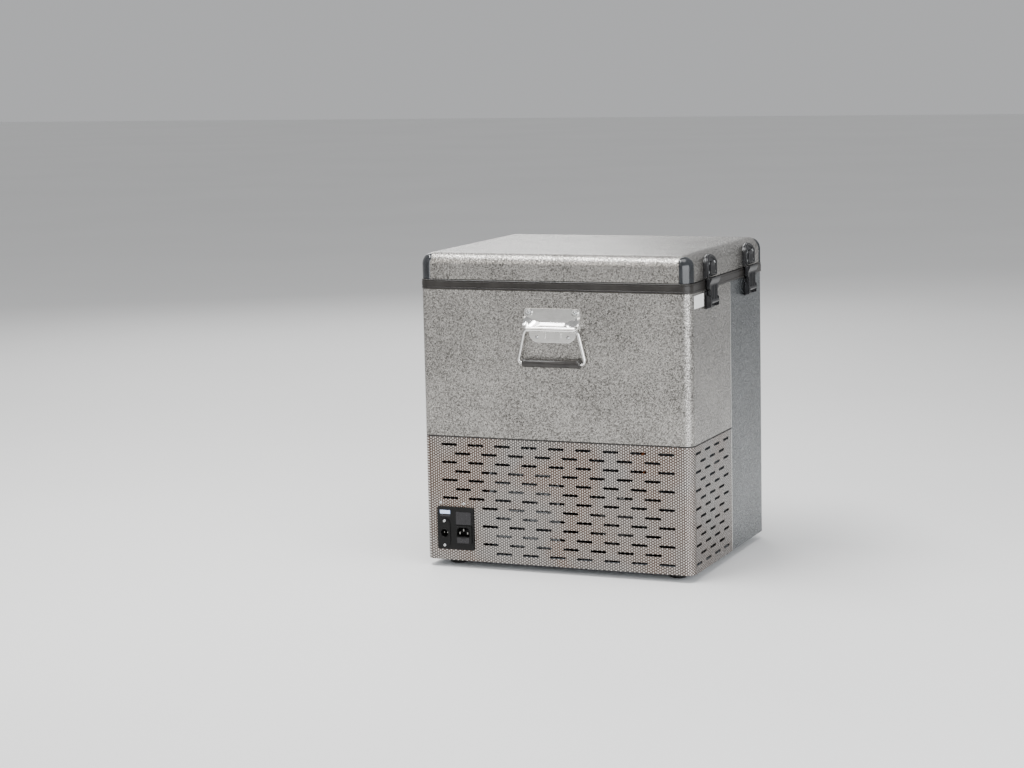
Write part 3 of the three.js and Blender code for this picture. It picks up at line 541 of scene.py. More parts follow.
@dataclass
class Piece:
    """A mesh that is gathered from several shapes and becomes one named object.

    Attributes:
        name: The object's name.
        finish: The finish of its surfaces.
        body: The moving body that it rides on.
        node: A CAD node that it stands for, if any.
        extra: Further finishes, in slots one and up.
    """

    name: str
    finish: Finish
    body: str
    node: str | None = None
    extra: tuple[Finish, ...] = ()
    mesh: bmesh.types.BMesh = field(default_factory=bmesh.new)

    def take(self, part: bmesh.types.BMesh, slot: int = 0) -> None:
        """Add another mesh's faces, with a material slot.

        Args:
            part: The mesh to add, which is freed.
            slot: The material slot.
        """
        for face in part.faces:
            face.material_index = slot
        data = bpy.data.meshes.new("part")
        part.to_mesh(data)
        part.free()
        self.mesh.from_mesh(data)
        bpy.data.meshes.remove(data)

    def loft(self, rings: Sequence[Sequence[Vector]], closed: bool = True, caps: bool = True,
             around: bool = False, slot: int = 0) -> None:
        """Skin a row of rings that have the same number of points.

        Args:
            rings: The rings, in order.
            closed: Whether each ring closes on itself.
            caps: Whether the first and last rings are filled.
            around: Whether the last ring joins the first.
            slot: The material slot.
        """
        part = bmesh.new()
        rows = [[part.verts.new(point) for point in ring] for ring in rings]
        count = len(rows[0])
        pairs = list(zip(rows, rows[1:]))
        if around:
            pairs.append((rows[-1], rows[0]))
        for low, high in pairs:
            for i in range(count if closed else count - 1):
                j = (i + 1) % count
                part.faces.new((low[i], low[j], high[j], high[i]))
        if caps and not around:
            part.faces.new(rows[0][::-1])
            part.faces.new(rows[-1])
        bmesh.ops.recalc_face_normals(part, faces=part.faces)
        self.take(part, slot)

    def plate(self, outline: Sequence[POINT2], low: float, high: float, plane: Plane, bevel: float = 0.0005,
              slot: int = 0, steps: int = 2) -> None:
        """Extrude an outline from low to high and round its rims.

        Args:
            outline: The outline's points.
            low: Where it starts along the plane's depth.
            high: Where it ends.
            plane: The plane of the outline.
            bevel: The radius of its rims.
            slot: The material slot.
            steps: Segments in each rim.
        """
        part = bmesh.new()
        base = [part.verts.new(plane.at(u, v, low)) for u, v in outline]
        bmesh.ops.remove_doubles(part, verts=base, dist=1e-6)
        base = list(part.verts)
        part.faces.new(base)
        top = bmesh.ops.extrude_face_region(part, geom=part.faces[:])
        shift = plane.at(0, 0, high - low)
        moved = [item for item in top["geom"] if isinstance(item, bmesh.types.BMVert)]
        bmesh.ops.translate(part, verts=moved, vec=shift)
        bmesh.ops.recalc_face_normals(part, faces=part.faces)
        part.normal_update()
        if bevel > 0:
            depth = plane.at(0, 0, 1)
            ends = [face for face in part.faces if abs(face.normal.dot(depth)) > 0.99]
            rims = {edge for face in ends for edge in face.edges}
            bmesh.ops.bevel(part, geom=list(rims), offset=bevel, segments=steps, profile=0.5,
                            affect="EDGES", clamp_overlap=True)
        self.take(part, slot)

    def block(self, low: Sequence[float], high: Sequence[float], bevel: float = 0.0008, slot: int = 0,
              steps: int = 2) -> None:
        """Add a box between two corners, with rounded edges.

        Args:
            low: The low corner.
            high: The high corner.
            bevel: The radius of its edges.
            slot: The material slot.
            steps: Segments in each edge.
        """
        part = bmesh.new()
        middle = (Vector(low) + Vector(high)) / 2
        size = Vector(high) - Vector(low)
        place = Matrix.Translation(middle) @ Matrix.Diagonal((*size, 1.0))
        bmesh.ops.create_cube(part, size=1.0, matrix=place)
        if bevel > 0:
            bmesh.ops.bevel(part, geom=part.edges[:], offset=bevel, segments=steps, profile=0.5,
                            affect="EDGES", clamp_overlap=True)
        self.take(part, slot)

    def turned(self, profile: Sequence[POINT2], centre: Sequence[float], axis: Sequence[float],
               sides: int = 24, slot: int = 0) -> None:
        """Turn a profile of (radius, height) points round an axis through centre.

        Args:
            profile: The (radius, height) points.
            centre: A point of the axis, where the height is zero.
            axis: The axis's direction.
            sides: Segments round the axis.
            slot: The material slot.
        """
        turn = Vector((0, 0, 1)).rotation_difference(Vector(axis).normalized())
        rings = []
        for radius, height in profile:
            rings.append([turn @ Vector((u, v, height)) + Vector(centre)
                          for u, v in circle(max(radius, 1e-6), sides)])
        self.loft(rings, slot=slot)

    def rod(self, points: Sequence[Vector], radius: float, sides: int = 14, closed: bool = False,
            slot: int = 0) -> None:
        """Sweep a circle along a row of points, keeping it from twisting.

        Args:
            points: The path.
            radius: The circle's radius.
            sides: Segments round the circle.
            closed: Whether the path joins its own start.
            slot: The material slot.
        """
        count = len(points)
        rings = []
        normal: Vector | None = None
        for i, point in enumerate(points):
            after = points[(i + 1) % count] if closed or i < count - 1 else point
            before = points[i - 1] if closed or i > 0 else point
            along = (after - before).normalized()
            if normal is None:
                normal = along.orthogonal().normalized()
            normal = (normal - along * normal.dot(along)).normalized()
            side = along.cross(normal)
            rings.append([point + (normal * math.cos(a) + side * math.sin(a)) * radius
                          for a in (2 * math.pi * k / sides for k in range(sides))])
        self.loft(rings, around=closed, slot=slot)

    def screw(self, centre: Sequence[float], axis: Sequence[float], radius: float = 3.2 * MM,
              slot: int = 0) -> None:
        """Add a domed pan-head screw with a cross recess.

        Args:
            centre: Where its head sits.
            axis: Which way its head faces.
            radius: The radius of its head.
            slot: The material slot.
        """
        outward = Vector(axis).normalized()
        seat = Vector(centre)
        dome = [(radius, 0.0), (radius * 0.98, radius * 0.22), (radius * 0.8, radius * 0.45),
                (radius * 0.5, radius * 0.58), (0.0, radius * 0.62)]
        self.turned([(radius, -radius * 0.2), *dome], seat, outward, 20, slot)
        turn = Vector((0, 0, 1)).rotation_difference(outward)
        for angle in (0.0, math.pi / 2):
            part = bmesh.new()
            size = Matrix.Diagonal((radius * 1.05, radius * 0.2, radius * 0.12, 1.0))
            spin = Matrix.Rotation(angle + 0.4, 4, "Z")
            lift = Matrix.Translation((0, 0, radius * 0.6))
            place = Matrix.Translation(seat) @ turn.to_matrix().to_4x4()
            bmesh.ops.create_cube(part, size=1.0, matrix=place @ spin @ lift @ size)
            self.take(part, slot)

    def finish_piece(self, angle: float = 38.0, weighted: bool = True) -> bpy.types.Object:
        """Turn the gathered mesh into an object on its body, and return it.

        Args:
            angle: The crease angle, in degrees.
            weighted: Whether flat faces hold their shading.

        Returns:
            The new object.
        """
        data = bpy.data.meshes.new(self.name)
        self.mesh.to_mesh(data)
        self.mesh.free()
        for finish in (self.finish, *self.extra):
            data.materials.append(finish.material())
        data.shade_smooth()
        data.set_sharp_from_angle(angle=math.radians(angle))
        piece = bpy.data.objects.new(self.name, data)
        bpy.context.scene.collection.objects.link(piece)
        if weighted:
            shading = piece.modifiers.new("even_normals", "WEIGHTED_NORMAL")
            shading.keep_sharp = True
        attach(piece, self.body)
        if self.node:
            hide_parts(self.node)
        LOG.info("made %s on %s", self.name, self.body)
        return piece


def punched(outline: Sequence[POINT2], holes: Iterable[Sequence[POINT2]], thickness: float, lip: float,
            place: Callable[[float, float, float], Vector]) -> bmesh.types.BMesh:
    """Return a flat sheet with holes and softened rims, moved into place.

    Args:
        outline: The sheet's outer edge.
        holes: The edges of its holes.
        thickness: The sheet's thickness.
        lip: The radius of its rims.
        place: Turns (u, v, depth) into a point, with depth zero at the outer face.

    Returns:
        The sheet.
    """
    curve = bpy.data.curves.new("punched", "CURVE")
    curve.dimensions = "2D"
    curve.fill_mode = "BOTH"
    curve.extrude = thickness / 2 - lip
    curve.bevel_depth = lip
    curve.bevel_resolution = 1
    curve.offset = -lip
    for loop in (outline, *holes):
        spline = curve.splines.new("POLY")
        spline.points.add(len(loop) - 1)
        for point, (u, v) in zip(spline.points, loop):
            point.co = (u, v, 0, 1)
        spline.use_cyclic_u = True
    holder = bpy.data.objects.new("punched", curve)
    bpy.context.scene.collection.objects.link(holder)
    shape = holder.evaluated_get(bpy.context.evaluated_depsgraph_get())
    part = bmesh.new()
    part.from_mesh(shape.to_mesh())
    shape.to_mesh_clear()
    bpy.data.objects.remove(holder)
    bpy.data.curves.remove(curve)
    for vert in part.verts:
        vert.co = place(vert.co.x, vert.co.y, thickness / 2 - vert.co.z)
    bmesh.ops.remove_doubles(part, verts=part.verts, dist=1e-6)
    bmesh.ops.recalc_face_normals(part, faces=part.faces)
    return part


# ----------------------------------------------------------------------------- driving sizes
def corners(node: str) -> tuple[Vector, Vector]:
    """Return a CAD node's lowest and highest corners at rest."""
    low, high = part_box(node)
    return Vector(low), Vector(high)


@dataclass(frozen=True)
class Cabinet:
    """Sizes of the cabinet skins, from the frame."""

    half_x: float = corners("front_wrap_panel")[1].x
    half_y: float = -corners("front_wrap_panel")[0].y
    corner: float = 15 * MM
    seam_y: float = corners("front_wrap_panel")[1].y
    base: float = corners("vent_cover")[0].z
    vent_top: float = corners("vent_cover")[1].z
    wrap_low: float = corners("front_wrap_panel")[0].z
    wrap_top: float = corners("front_wrap_panel")[1].z
    band_low: float = corners("top_frame_band")[0].z
    band_proud: float = 0.8 * MM
    sheet: float = 0.8 * MM


CAB = Cabinet()


def wall_path(inset: float, start_y: float, front: bool = True, steps: int = 12) -> list[POINT2]:
    """Return the U-shaped path of a skin round the front or the rear of the cabinet.

    Args:
        inset: Distance inside the cabinet's outer face.
        start_y: Where both ends of the path stop.
        front: Whether it goes round the front or the rear.
        steps: Segments in each corner.

    Returns:
        The points of the path.
    """
    x, y, r = CAB.half_x - inset, CAB.half_y - inset, CAB.corner - inset
    left = arc(-x + r, -y + r, r, 180, 270, steps)
    right = arc(x - r, -y + r, r, 270, 360, steps)
    points = [(-x, start_y if front else -start_y), *left, *right, (x, start_y if front else -start_y)]
    return points if front else [(px, -py) for px, py in points]


def wrapped_sheet(piece: Piece, inset: float, start_y: float, low: float, high: float, front: bool = True,
                  thickness: float = CAB.sheet, rim: float = 0.3 * MM) -> None:
    """Add a bent sheet that follows the cabinet's wall, with softened rims.

    Args:
        piece: The piece that gets the sheet.
        inset: How far its outer face is inside the cabinet's wall.
        start_y: Where both of its ends stop.
        low: Its lower edge.
        high: Its upper edge.
        front: Whether it goes round the front or the rear.
        thickness: The sheet's thickness.
        rim: How much its edges are eased.
    """
    outer, inner = inset, inset + thickness
    levels = [(outer, low + rim), (outer, high - rim), (outer + rim, high), (inner, high), (inner, low),
              (outer + rim, low)]
    rows = [[Vector((x, y, z)) for x, y in wall_path(depth, start_y, front)] for depth, z in levels]
    columns = [list(column) for column in zip(*rows)]
    piece.loft(columns)


# ----------------------------------------------------------------------------- cabinet skins
@dataclass
class CabinetSkins:
    """The front wrap, the rear shell and the dark rim band."""

    lap: float = 16 * MM
    lap_inset: float = 0.9 * MM

    def build(self) -> None:
        """Make every skin above and behind the vent cover."""
        wrap = Piece("front_wrap_skin", Finish.STUCCO, "cabinet", "front_wrap_panel")
        wrapped_sheet(wrap, 0.0, CAB.seam_y, CAB.wrap_low, CAB.wrap_top)
        wrap.finish_piece()

        # The rear shell's darker, bluer colour is painted shade.
        rear = Piece("rear_shell_skin", Finish.STUCCO_REAR, "cabinet", "rear_shell", (Finish.ZINC,))
        wrapped_sheet(rear, self.lap_inset, CAB.seam_y + 0.3 * MM, CAB.base, CAB.wrap_top, False)
        for side in (-1, 1):
            ends = sorted(side * (CAB.half_x - self.lap_inset - depth) for depth in (0.0, CAB.sheet))
            low = (ends[0], CAB.seam_y - self.lap, CAB.wrap_low)
            high = (ends[1], CAB.seam_y + 0.4 * MM, CAB.wrap_top)
            rear.block(low, high, 0)
        face = CAB.half_y - self.lap_inset
        for x in (-0.19, -0.065, 0.065, 0.19):
            for z in (CAB.base + 0.014, CAB.wrap_top - 0.016):
                rear.screw((x, face, z), (0, 1, 0), 3 * MM, 1)
        rear.finish_piece()
        self.band()
        self.seam_fold_highlights()

    def band(self) -> None:
        """Make the dark rim band with its bead, groove and inner ledge."""
        opening = (0.197, 0.154, 0.015)
        levels = [(-0.6, 0.0), (0.0, 0.7), (0.0, 3.0), (-0.5, 3.5), (-0.5, 4.2), (0.0, 4.7), (0.0, 12.0),
                  (-0.7, 12.6), (-0.7, 13.3), (-0.1, 13.8), (-0.1, 14.7), (-1.0, 15.5), (-9.0, 15.6),
                  (-10.5, 14.9), (-12.5, 14.9), (-14.0, 15.6)]
        rings = []
        for offset, rise in levels:
            grow = CAB.band_proud + offset * MM
            outline = rounded_rect(CAB.half_x + grow, CAB.half_y + grow, max(CAB.corner + grow, 2 * MM), 10)
            rings.append([Vector((x, y, CAB.band_low + rise * MM)) for x, y in outline])
        for grow, rise in ((1.2, 15.6), (0.0, 14.4), (0.0, 0.0)):
            outline = rounded_rect(*(size + grow * MM for size in opening), 10)
            rings.append([Vector((x, y, CAB.band_low + rise * MM)) for x, y in outline])
        band = Piece("rim_band", Finish.BAND, "cabinet", "top_frame_band")
        band.loft(rings, around=True)
        band.finish_piece(30)

    def seam_fold_highlights(self) -> None:
        """Make a chrome rod down each side seam: it marks the wrap's folded edge, and its chrome is a painted
        highlight on that edge.
        """
        # Painted highlight: the bright chrome stands in for the light caught by the wrap's folded edge.
        strips = Piece("side_seam_fold", Finish.CHROME, "cabinet")
        for side in (-1, 1):
            edge = side * (CAB.half_x - 0.8 * MM)
            for low, high in ((CAB.base + MM, CAB.vent_top - MM), (CAB.wrap_low + MM, CAB.wrap_top - MM)):
                points = [Vector((edge, CAB.seam_y + 0.3 * MM, z)) for z in (low, high)]
                strips.rod(points, 1.1 * MM, 12)
        strips.finish_piece(weighted=False)


@dataclass
class VentCover:
    """The dimpled lower cover, with its rows of staggered slots."""

    slot: float = 27.8 * MM
    tall: float = 4 * MM
    pitch: float = 47.5 * MM
    row: float = 15 * MM
    rows: int = 13
    first_x: float = -189 * MM
    first_side: float = -163.5 * MM
    top_row: float = 207.4 * MM
    panel_row: int = 7
    hinge_side_end: float = -105 * MM
    thickness: float = 1 * MM
    lip: float = 0.3 * MM
    shade_strip_inset: float = 0.4 * MM

    def outline(self, cx: float, cz: float) -> list[POINT2]:
        """Return one slot's edge, with round ends.

        Args:
            cx: The slot's middle along the face.
            cz: The slot's middle in height.

        Returns:
            The points of the edge.
        """
        half = self.slot / 2 - self.tall / 2
        right = arc(cx + half, cz, self.tall / 2, -90, 90, 7)
        left = arc(cx - half, cz, self.tall / 2, 90, 270, 7)
        return [*right, *left]

    def front_slots(self) -> list[list[POINT2]]:
        """Return the front face's slots, leaving room for the power panel.

        Returns:
            The edge of each slot.
        """
        panel_right = corners("power_panel")[1].x
        slots = []
        for row in range(self.rows):
            odd = row % 2
            for column in range(9 - odd):
                x = self.first_x + (column + odd / 2) * self.pitch
                if row < self.panel_row or x > panel_right + self.slot / 2:
                    slots.append(self.outline(x, self.top_row - row * self.row))
        return slots

    def side_slots(self, end: float) -> list[list[POINT2]]:
        """Return one side face's slots.

        Args:
            end: Where the slots stop along Y.

        Returns:
            The edge of each slot.
        """
        slots = []
        for row in range(self.rows):
            for column in range(4):
                y = self.first_side + (column + (row % 2) / 2) * self.pitch
                if y + self.slot / 2 < end:
                    slots.append(self.outline(y, self.top_row - row * self.row))
        return slots

    def build(self) -> None:
        """Make the cover from three punched faces and two bent corners, and a black strip of painted shade in
        the gap above it.
        """
        x, y, r = CAB.half_x, CAB.half_y, CAB.corner
        low, high = CAB.base, CAB.vent_top
        cover = Piece("vent_cover_sheet", Finish.VENT, "cabinet", "vent_cover", (Finish.ZINC,))
        panel_low, panel_high = corners("power_panel")
        edge = 4 * MM
        window = [(panel_low.x + edge, panel_low.z + edge), (panel_high.x - edge, panel_low.z + edge),
                  (panel_high.x - edge, panel_high.z - edge), (panel_low.x + edge, panel_high.z - edge)]
        flat = [(-x + r, low), (x - r, low), (x - r, high), (-x + r, high)]
        cover.take(punched(flat, [window, *self.front_slots()], self.thickness, self.lip,
                           lambda u, v, w: Vector((u, -y + w, v))))
        side = [(-y + r, low), (CAB.seam_y, low), (CAB.seam_y, high), (-y + r, high)]
        for sign in (-1, 1):
            end = CAB.seam_y - 4 * MM if sign > 0 else self.hinge_side_end
            cover.take(punched(side, self.side_slots(end), self.thickness, self.lip,
                               lambda u, v, w, sign=sign: Vector((sign * (x - w), u, v))))
            cx, start = (x - r, -90) if sign > 0 else (-x + r, 180)
            rings = []
            for outer in arc(cx, -y + r, r, start, start + 90, 14):
                middle = Vector((cx, -y + r))
                inner = middle + (Vector(outer) - middle) * ((r - self.thickness) / r)
                rings.append([Vector((*outer, low)), Vector((*outer, high)), Vector((*inner, high)),
                              Vector((*inner, low))])
            cover.loft(rings)
        for sx in (-207.5 * MM, -165.5 * MM):
            cover.screw((sx, -y, 108.5 * MM), (0, -1, 0), 2.4 * MM, 1)
        cover.finish_piece(30)
        # Painted shade: a thin black rubber strip fills the gap between the cover and the wrap, standing in
        # for the shadow in that gap.
        shade_strip = Piece("vent_cover_edge_seal", Finish.RUBBER, "cabinet")
        wrapped_sheet(shade_strip, self.shade_strip_inset, CAB.seam_y, high, CAB.wrap_low - 0.1 * MM,
                      thickness=0.55 * MM, rim=0.1 * MM)
        shade_strip.finish_piece()


# ----------------------------------------------------------------------------- lid
@dataclass
class Lid:
    """The domed lid skin, its moulded liner, its seal and its corner caps."""

    edge: float = 20 * MM
    corner: float = 20.6 * MM
    wall: float = 1.2 * MM
    cap_proud: float = 2.4 * MM
    cap_half: float = 13 * MM
    cap_round: float = 11 * MM

    def __post_init__(self) -> None:
        """Read the lid's place from the frame."""
        low, high = corners("lid_shell")
        self.half = (high.x, high.y)
        self.low, self.top = low.z, high.z
        self.cap_top = corners("corner_cap_front_right")[1].z

    def inset_at(self, z: float) -> float:
        """Return how far the rounded edge has pulled in at a height."""
        rise = min(max(z - (self.top - self.edge), 0.0), self.edge)
        return self.edge - math.sqrt(max(self.edge ** 2 - rise ** 2, 0.0))

    def ring(self, inset: float, z: float) -> list[Vector]:
        """Return the lid's outline at an inset and a height.

        Args:
            inset: How far it is inside the lid's side.
            z: The height.

        Returns:
            The points of the outline.
        """
        half_x, half_y = self.half[0] - inset, self.half[1] - inset
        outline = rounded_rect(half_x, half_y, max(self.corner - inset, 0.3 * MM), 12)
        return [Vector((x, y, z)) for x, y in outline]

    def skin(self) -> None:
        """Make the lid's embossed skin with a rolled lower hem."""
        rings = [self.ring(0.35 * MM, self.low), self.ring(0, self.low + 0.5 * MM)]
        rings.append(self.ring(0, self.top - self.edge))
        for step in range(1, 15):
            angle = math.pi / 2 * step / 14
            inset, drop = self.edge * (1 - math.cos(angle)), self.edge * (1 - math.sin(angle))
            rings.append(self.ring(inset, self.top - drop))
        rings.append(self.ring(self.edge + 5 * MM, self.top))
        under = [self.ring(self.wall, self.low), self.ring(self.wall, self.low + 8 * MM)]
        skin = Piece("lid_skin", Finish.STUCCO, "lid", "lid_shell")
        skin.loft([*under[::-1], *rings])
        skin.finish_piece(40)

    def liner(self) -> None:
        """Make the liner with a raised plug, rounded folds and a recessed middle panel."""
        low, high = corners("lid_liner")
        half_x, half_y = high.x, high.y
        plug_x, plug_y = 0.192, 0.149
        flange = high.z - 2 * MM
        inward = [(0.0, 12, flange - 3 * MM), (0.0, 12, low.z + 4 * MM), (1.2, 11, low.z + 1.2 * MM),
                  (4, 10, low.z),
                  (34, 22, low.z), (37, 20, low.z + 1.4 * MM), (41, 18, low.z + 2.2 * MM)]
        steps = [(half_x, half_y, 18, high.z), (half_x, half_y, 18, flange + 0.4 * MM),
                 (half_x - 0.4 * MM, half_y - 0.4 * MM, 18, flange),
                 (plug_x + 3 * MM, plug_y + 3 * MM, 14, flange),
                 (plug_x + 0.8 * MM, plug_y + 0.8 * MM, 12, flange - 0.8 * MM)]
        steps += [(plug_x - inset * MM, plug_y - inset * MM, radius, z) for inset, radius, z in inward]
        rings = [[Vector((x, y, z)) for x, y in rounded_rect(half_x, half_y, radius * MM, 8)]
                 for half_x, half_y, radius, z in steps]
        liner = Piece("lid_liner_moulding", Finish.LINER, "lid", "lid_liner")
        liner.loft(rings)
        liner.finish_piece(50)

    def seal(self) -> None:
        """Make the bellows seal under the lid."""
        low, high = corners("lid_gasket")
        z0, z1 = low.z, high.z
        levels = [(0.0, 0.5), (-0.8, 0.0), (-3.2, 0.0), (-4.0, 0.5), (-3.4, 1.5), (-4.4, 2.4), (-4.4, 4.3),
                  (-12.6, 4.3), (-12.6, 3.0), (-9.0, 2.6), (-9.0, 2.0), (-2.0, 2.0), (-0.6, 1.5)]
        height = (z1 - z0) / (4.3 * MM)
        rings = []
        for offset, rise in levels:
            outline = rounded_rect(high.x + offset * MM, high.y + offset * MM, 25 * MM + offset * MM, 8)
            rings.append([Vector((x, y, z0 + rise * MM * height)) for x, y in outline])
        seal = Piece("lid_bellows_seal", Finish.SEAL, "lid", "lid_gasket")
        seal.loft(rings, around=True)
        seal.finish_piece(50, False)

    def on_skin(self, across: float, z: float, proud: float) -> Vector:
        """Return a point of the front right corner, across its diagonal and proud of the skin.

        Args:
            across: How far it is across the corner.
            z: Its height.
            proud: How far it is off the skin.

        Returns:
            The point.
        """
        inset = self.inset_at(min(z, self.top)) - proud
        half_x, half_y = self.half[0] - inset, self.half[1] - inset
        radius = max(self.corner - inset, 0.5 * MM)
        centre = Vector((half_x - radius, -half_y + radius))
        limit = radius * math.sin(math.pi / 4)
        if abs(across) <= limit:
            turn = math.asin(across / radius) - math.pi / 4
            flat = centre + Vector((math.cos(turn), math.sin(turn))) * radius
        elif across > 0:
            flat = centre + Vector((radius, across * math.sqrt(2) - radius))
        else:
            flat = centre + Vector((across * math.sqrt(2) + radius, -radius))
        return Vector((flat.x, flat.y, z))

    def cap_grid(self) -> list[list[Vector]]:
        """Return the cap's outer surface as rows across an arch, rolled in at its rim.

        Returns:
            The rows, from the foot to the top.
        """
        straight = self.cap_top - self.cap_round
        roll = 2.2 * MM
        rows = []
        heights = [self.low + (straight - self.low) * i / 10 for i in range(11)]
        levels = [(z, self.cap_half) for z in heights]
        for step in range(1, 13):
            angle = math.pi / 2 * step / 12.4
            levels.append((straight + self.cap_round * math.sin(angle), self.cap_half * math.cos(angle)))
        stations = [-1, -0.985, -0.95, -0.9, *[i / 8 for i in range(-7, 8)], 0.9, 0.95, 0.985, 1]
        for z, half in levels:
            row = []
            for station in stations:
                across = station * half
                rise = max(z - straight, 0) / self.cap_round
                rim = (1 - math.hypot(across / self.cap_half, rise)) * 14 * MM
                rim = min(rim, (1 - abs(across) / self.cap_half) * self.cap_half)
                depth = min(max(rim / roll, 0), 1)
                proud = 0.25 * MM + (self.cap_proud - 0.25 * MM) * math.sqrt(1 - (1 - depth) ** 2)
                row.append(self.on_skin(across, z, proud))
            rows.append(row)
        return rows

    def caps(self) -> None:
        """Make the four glossy corner caps."""
        grid = self.cap_grid()
        places = {"front_right": (1, 1), "front_left": (-1, 1), "rear_right": (1, -1), "rear_left": (-1, -1)}
        for name, (sx, sy) in places.items():
            cap = Piece(f"lid_corner_cap_{name}", Finish.CAP, "lid", f"corner_cap_{name}")
            rows = [[Vector((p.x * sx, p.y * sy, p.z)) for p in row] for row in grid]
            inner = [[Vector((p.x - sx * 1.2 * MM, p.y + sy * 1.2 * MM, p.z)) for p in row] for row in rows]
            loops = [row + back[::-1] for row, back in zip(rows, inner)]
            cap.loft(loops)
            cap.finish_piece(55, False)

    def build(self) -> None:
        """Make every visible piece of the lid."""
        self.skin()
        self.liner()
        self.seal()
        self.caps()


# ----------------------------------------------------------------------------- hardware
@dataclass
class DropHandle:
    """A sprung-steel drop handle: folded plate, bent bail and rubber grip.

    Attributes:
        side: The name of the face it is on, front or rear.
    """

    side: str
    rod: float = 2.6 * MM
    barrel: float = 4.8 * MM
    grip: float = 7 * MM
    top_x: float = 45.5 * MM
    bottom_x: float = 58.6 * MM
    elbow: float = 9 * MM
    rivet_x: float = 27 * MM
    screw_x: float = 40 * MM
    fold_side: float = 20 * MM
    fold_middle: float = 10.5 * MM
    fold_flat: float = 23 * MM

    def __post_init__(self) -> None:
        """Read the handle's place from the frame."""
        low, high = corners(f"handle_{self.side}_plate")
        self.wall = -high.y if self.side == "front" else low.y
        self.low, self.high = low, high
        bail_low, bail_high = corners(f"handle_{self.side}_bail")
        self.axis_y = abs((bail_low.y + bail_high.y) / 2)
        self.pivot_z = bail_high.z - self.rod
        self.bottom_z = bail_low.z + self.rod

    def spin(self, piece: Piece) -> None:
        """Turn a front piece round to the rear face where that is its side."""
        if self.side == "rear":
            bmesh.ops.rotate(piece.mesh, verts=piece.mesh.verts, matrix=Matrix.Rotation(math.pi, 3, "Z"))

    def plate(self) -> None:
        """Make the plate, with its scalloped fold, barrel, rivets and corner eyelets."""
        half = self.high.x
        top, tongue, pivot = self.high.z, self.low.z, self.pivot_z
        wall, axis = -self.wall, -self.axis_y
        piece = Piece(f"drop_handle_{self.side}_plate", Finish.CHROME, "cabinet", f"handle_{self.side}_plate",
                      (Finish.ZINC,))
        neck, shelf = half - 8 * MM, pivot - 4 * MM
        outline = rounded_polygon([(-half, shelf), (-neck, shelf), (-neck, tongue + 9 * MM),
                                   (-neck + 10 * MM, tongue), (neck - 10 * MM, tongue),
                                   (neck, tongue + 9 * MM), (neck, shelf), (half, shelf), (half, top),
                                   (-half, top)], 5 * MM, 5)
        piece.plate(outline, wall - 1.8 * MM, wall, Plane.XZ, 0.5 * MM)
        piece.loft(self.fold(half, pivot, axis, wall))
        reach = self.top_x - self.rod - 0.6 * MM
        ends = [(0.0, -reach), (self.barrel * 0.9, -reach), (self.barrel, -reach + 0.5 * MM),
                (self.barrel, reach - 0.5 * MM), (self.barrel * 0.9, reach), (0.0, reach)]
        piece.turned(ends, (0, axis, pivot), (1, 0, 0), 24)
        for sign in (-1, 1):
            x, z = sign * self.screw_x, top - 7 * MM
            eyelet = [Vector((x + u, wall - 2 * MM, z + v)) for u, v in circle(5.2 * MM, 24)]
            piece.rod(eyelet, 1.3 * MM, 8, True)
            piece.screw((x, wall - 1.8 * MM, z), (0, -1, 0), 3.4 * MM, 1)
            piece.screw((sign * self.rivet_x, wall - 1.8 * MM, tongue + 9 * MM), (0, -1, 0), 3 * MM, 1)
        for rib_x in (-14 * MM, 13 * MM):
            piece.block((rib_x, wall - 3 * MM, tongue + 7 * MM), (rib_x + 2.5 * MM, wall - 1.5 * MM, pivot),
                        0.5 * MM)
        self.spin(piece)
        piece.finish_piece(35)

    def fold(self, half: float, pivot: float, axis: float, wall: float) -> list[list[Vector]]:
        """Return the fold that rises from the plate to the barrel, scalloped along its top edge.

        Args:
            half: Half the plate's width.
            pivot: The barrel's height.
            axis: The barrel's place along Y.
            wall: The cabinet's face along Y.

        Returns:
            The fold's cross-sections, from left to right.
        """
        rings = []
        columns = 40
        for i in range(columns + 1):
            x = -half + 2 * half * i / columns
            rise = min(max((abs(x) - self.fold_flat) / (half - 3 * MM - self.fold_flat), 0), 1)
            crest = pivot + self.fold_middle + (self.fold_side - self.fold_middle) * rise
            inner = abs(x) < self.top_x - self.rod - 0.8 * MM
            foot = pivot + (self.barrel * 0.8 if inner else self.barrel + 1.2 * MM)
            lean = axis - self.barrel * 0.55
            bulge = ((lean + wall) / 2 - 0.8 * MM, (crest + foot) / 2 - 0.4 * MM)
            section = [(wall - 1.6 * MM, crest), (wall - 2.6 * MM, crest - 0.3 * MM), bulge,
                       (lean, foot + 0.9 * MM), (lean + 0.4 * MM, foot), (wall - 1.6 * MM, foot)]
            rings.append([Vector((x, y, z)) for y, z in section])
        return rings

    def bail(self) -> None:
        """Make the bent bail and the ribbed grip on its lower bar."""
        y, body = -self.axis_y, f"{self.side}_bail"
        loop = [(-self.top_x, self.pivot_z), (self.top_x, self.pivot_z), (self.bottom_x, self.bottom_z),
                (-self.bottom_x, self.bottom_z)]
        path = [Vector((u, y, v)) for u, v in rounded_polygon(loop, self.elbow, 6)]
        inside = corners(f"handle_{self.side}_bail")[1].x - self.rod
        path = [Vector((max(-inside, min(inside, p.x)), p.y, p.z)) for p in path]
        bail = Piece(f"drop_handle_{self.side}_bail", Finish.CHROME, body, f"handle_{self.side}_bail")
        bail.rod(path, self.rod, 16, True)
        self.spin(bail)
        bail.finish_piece(60, False)

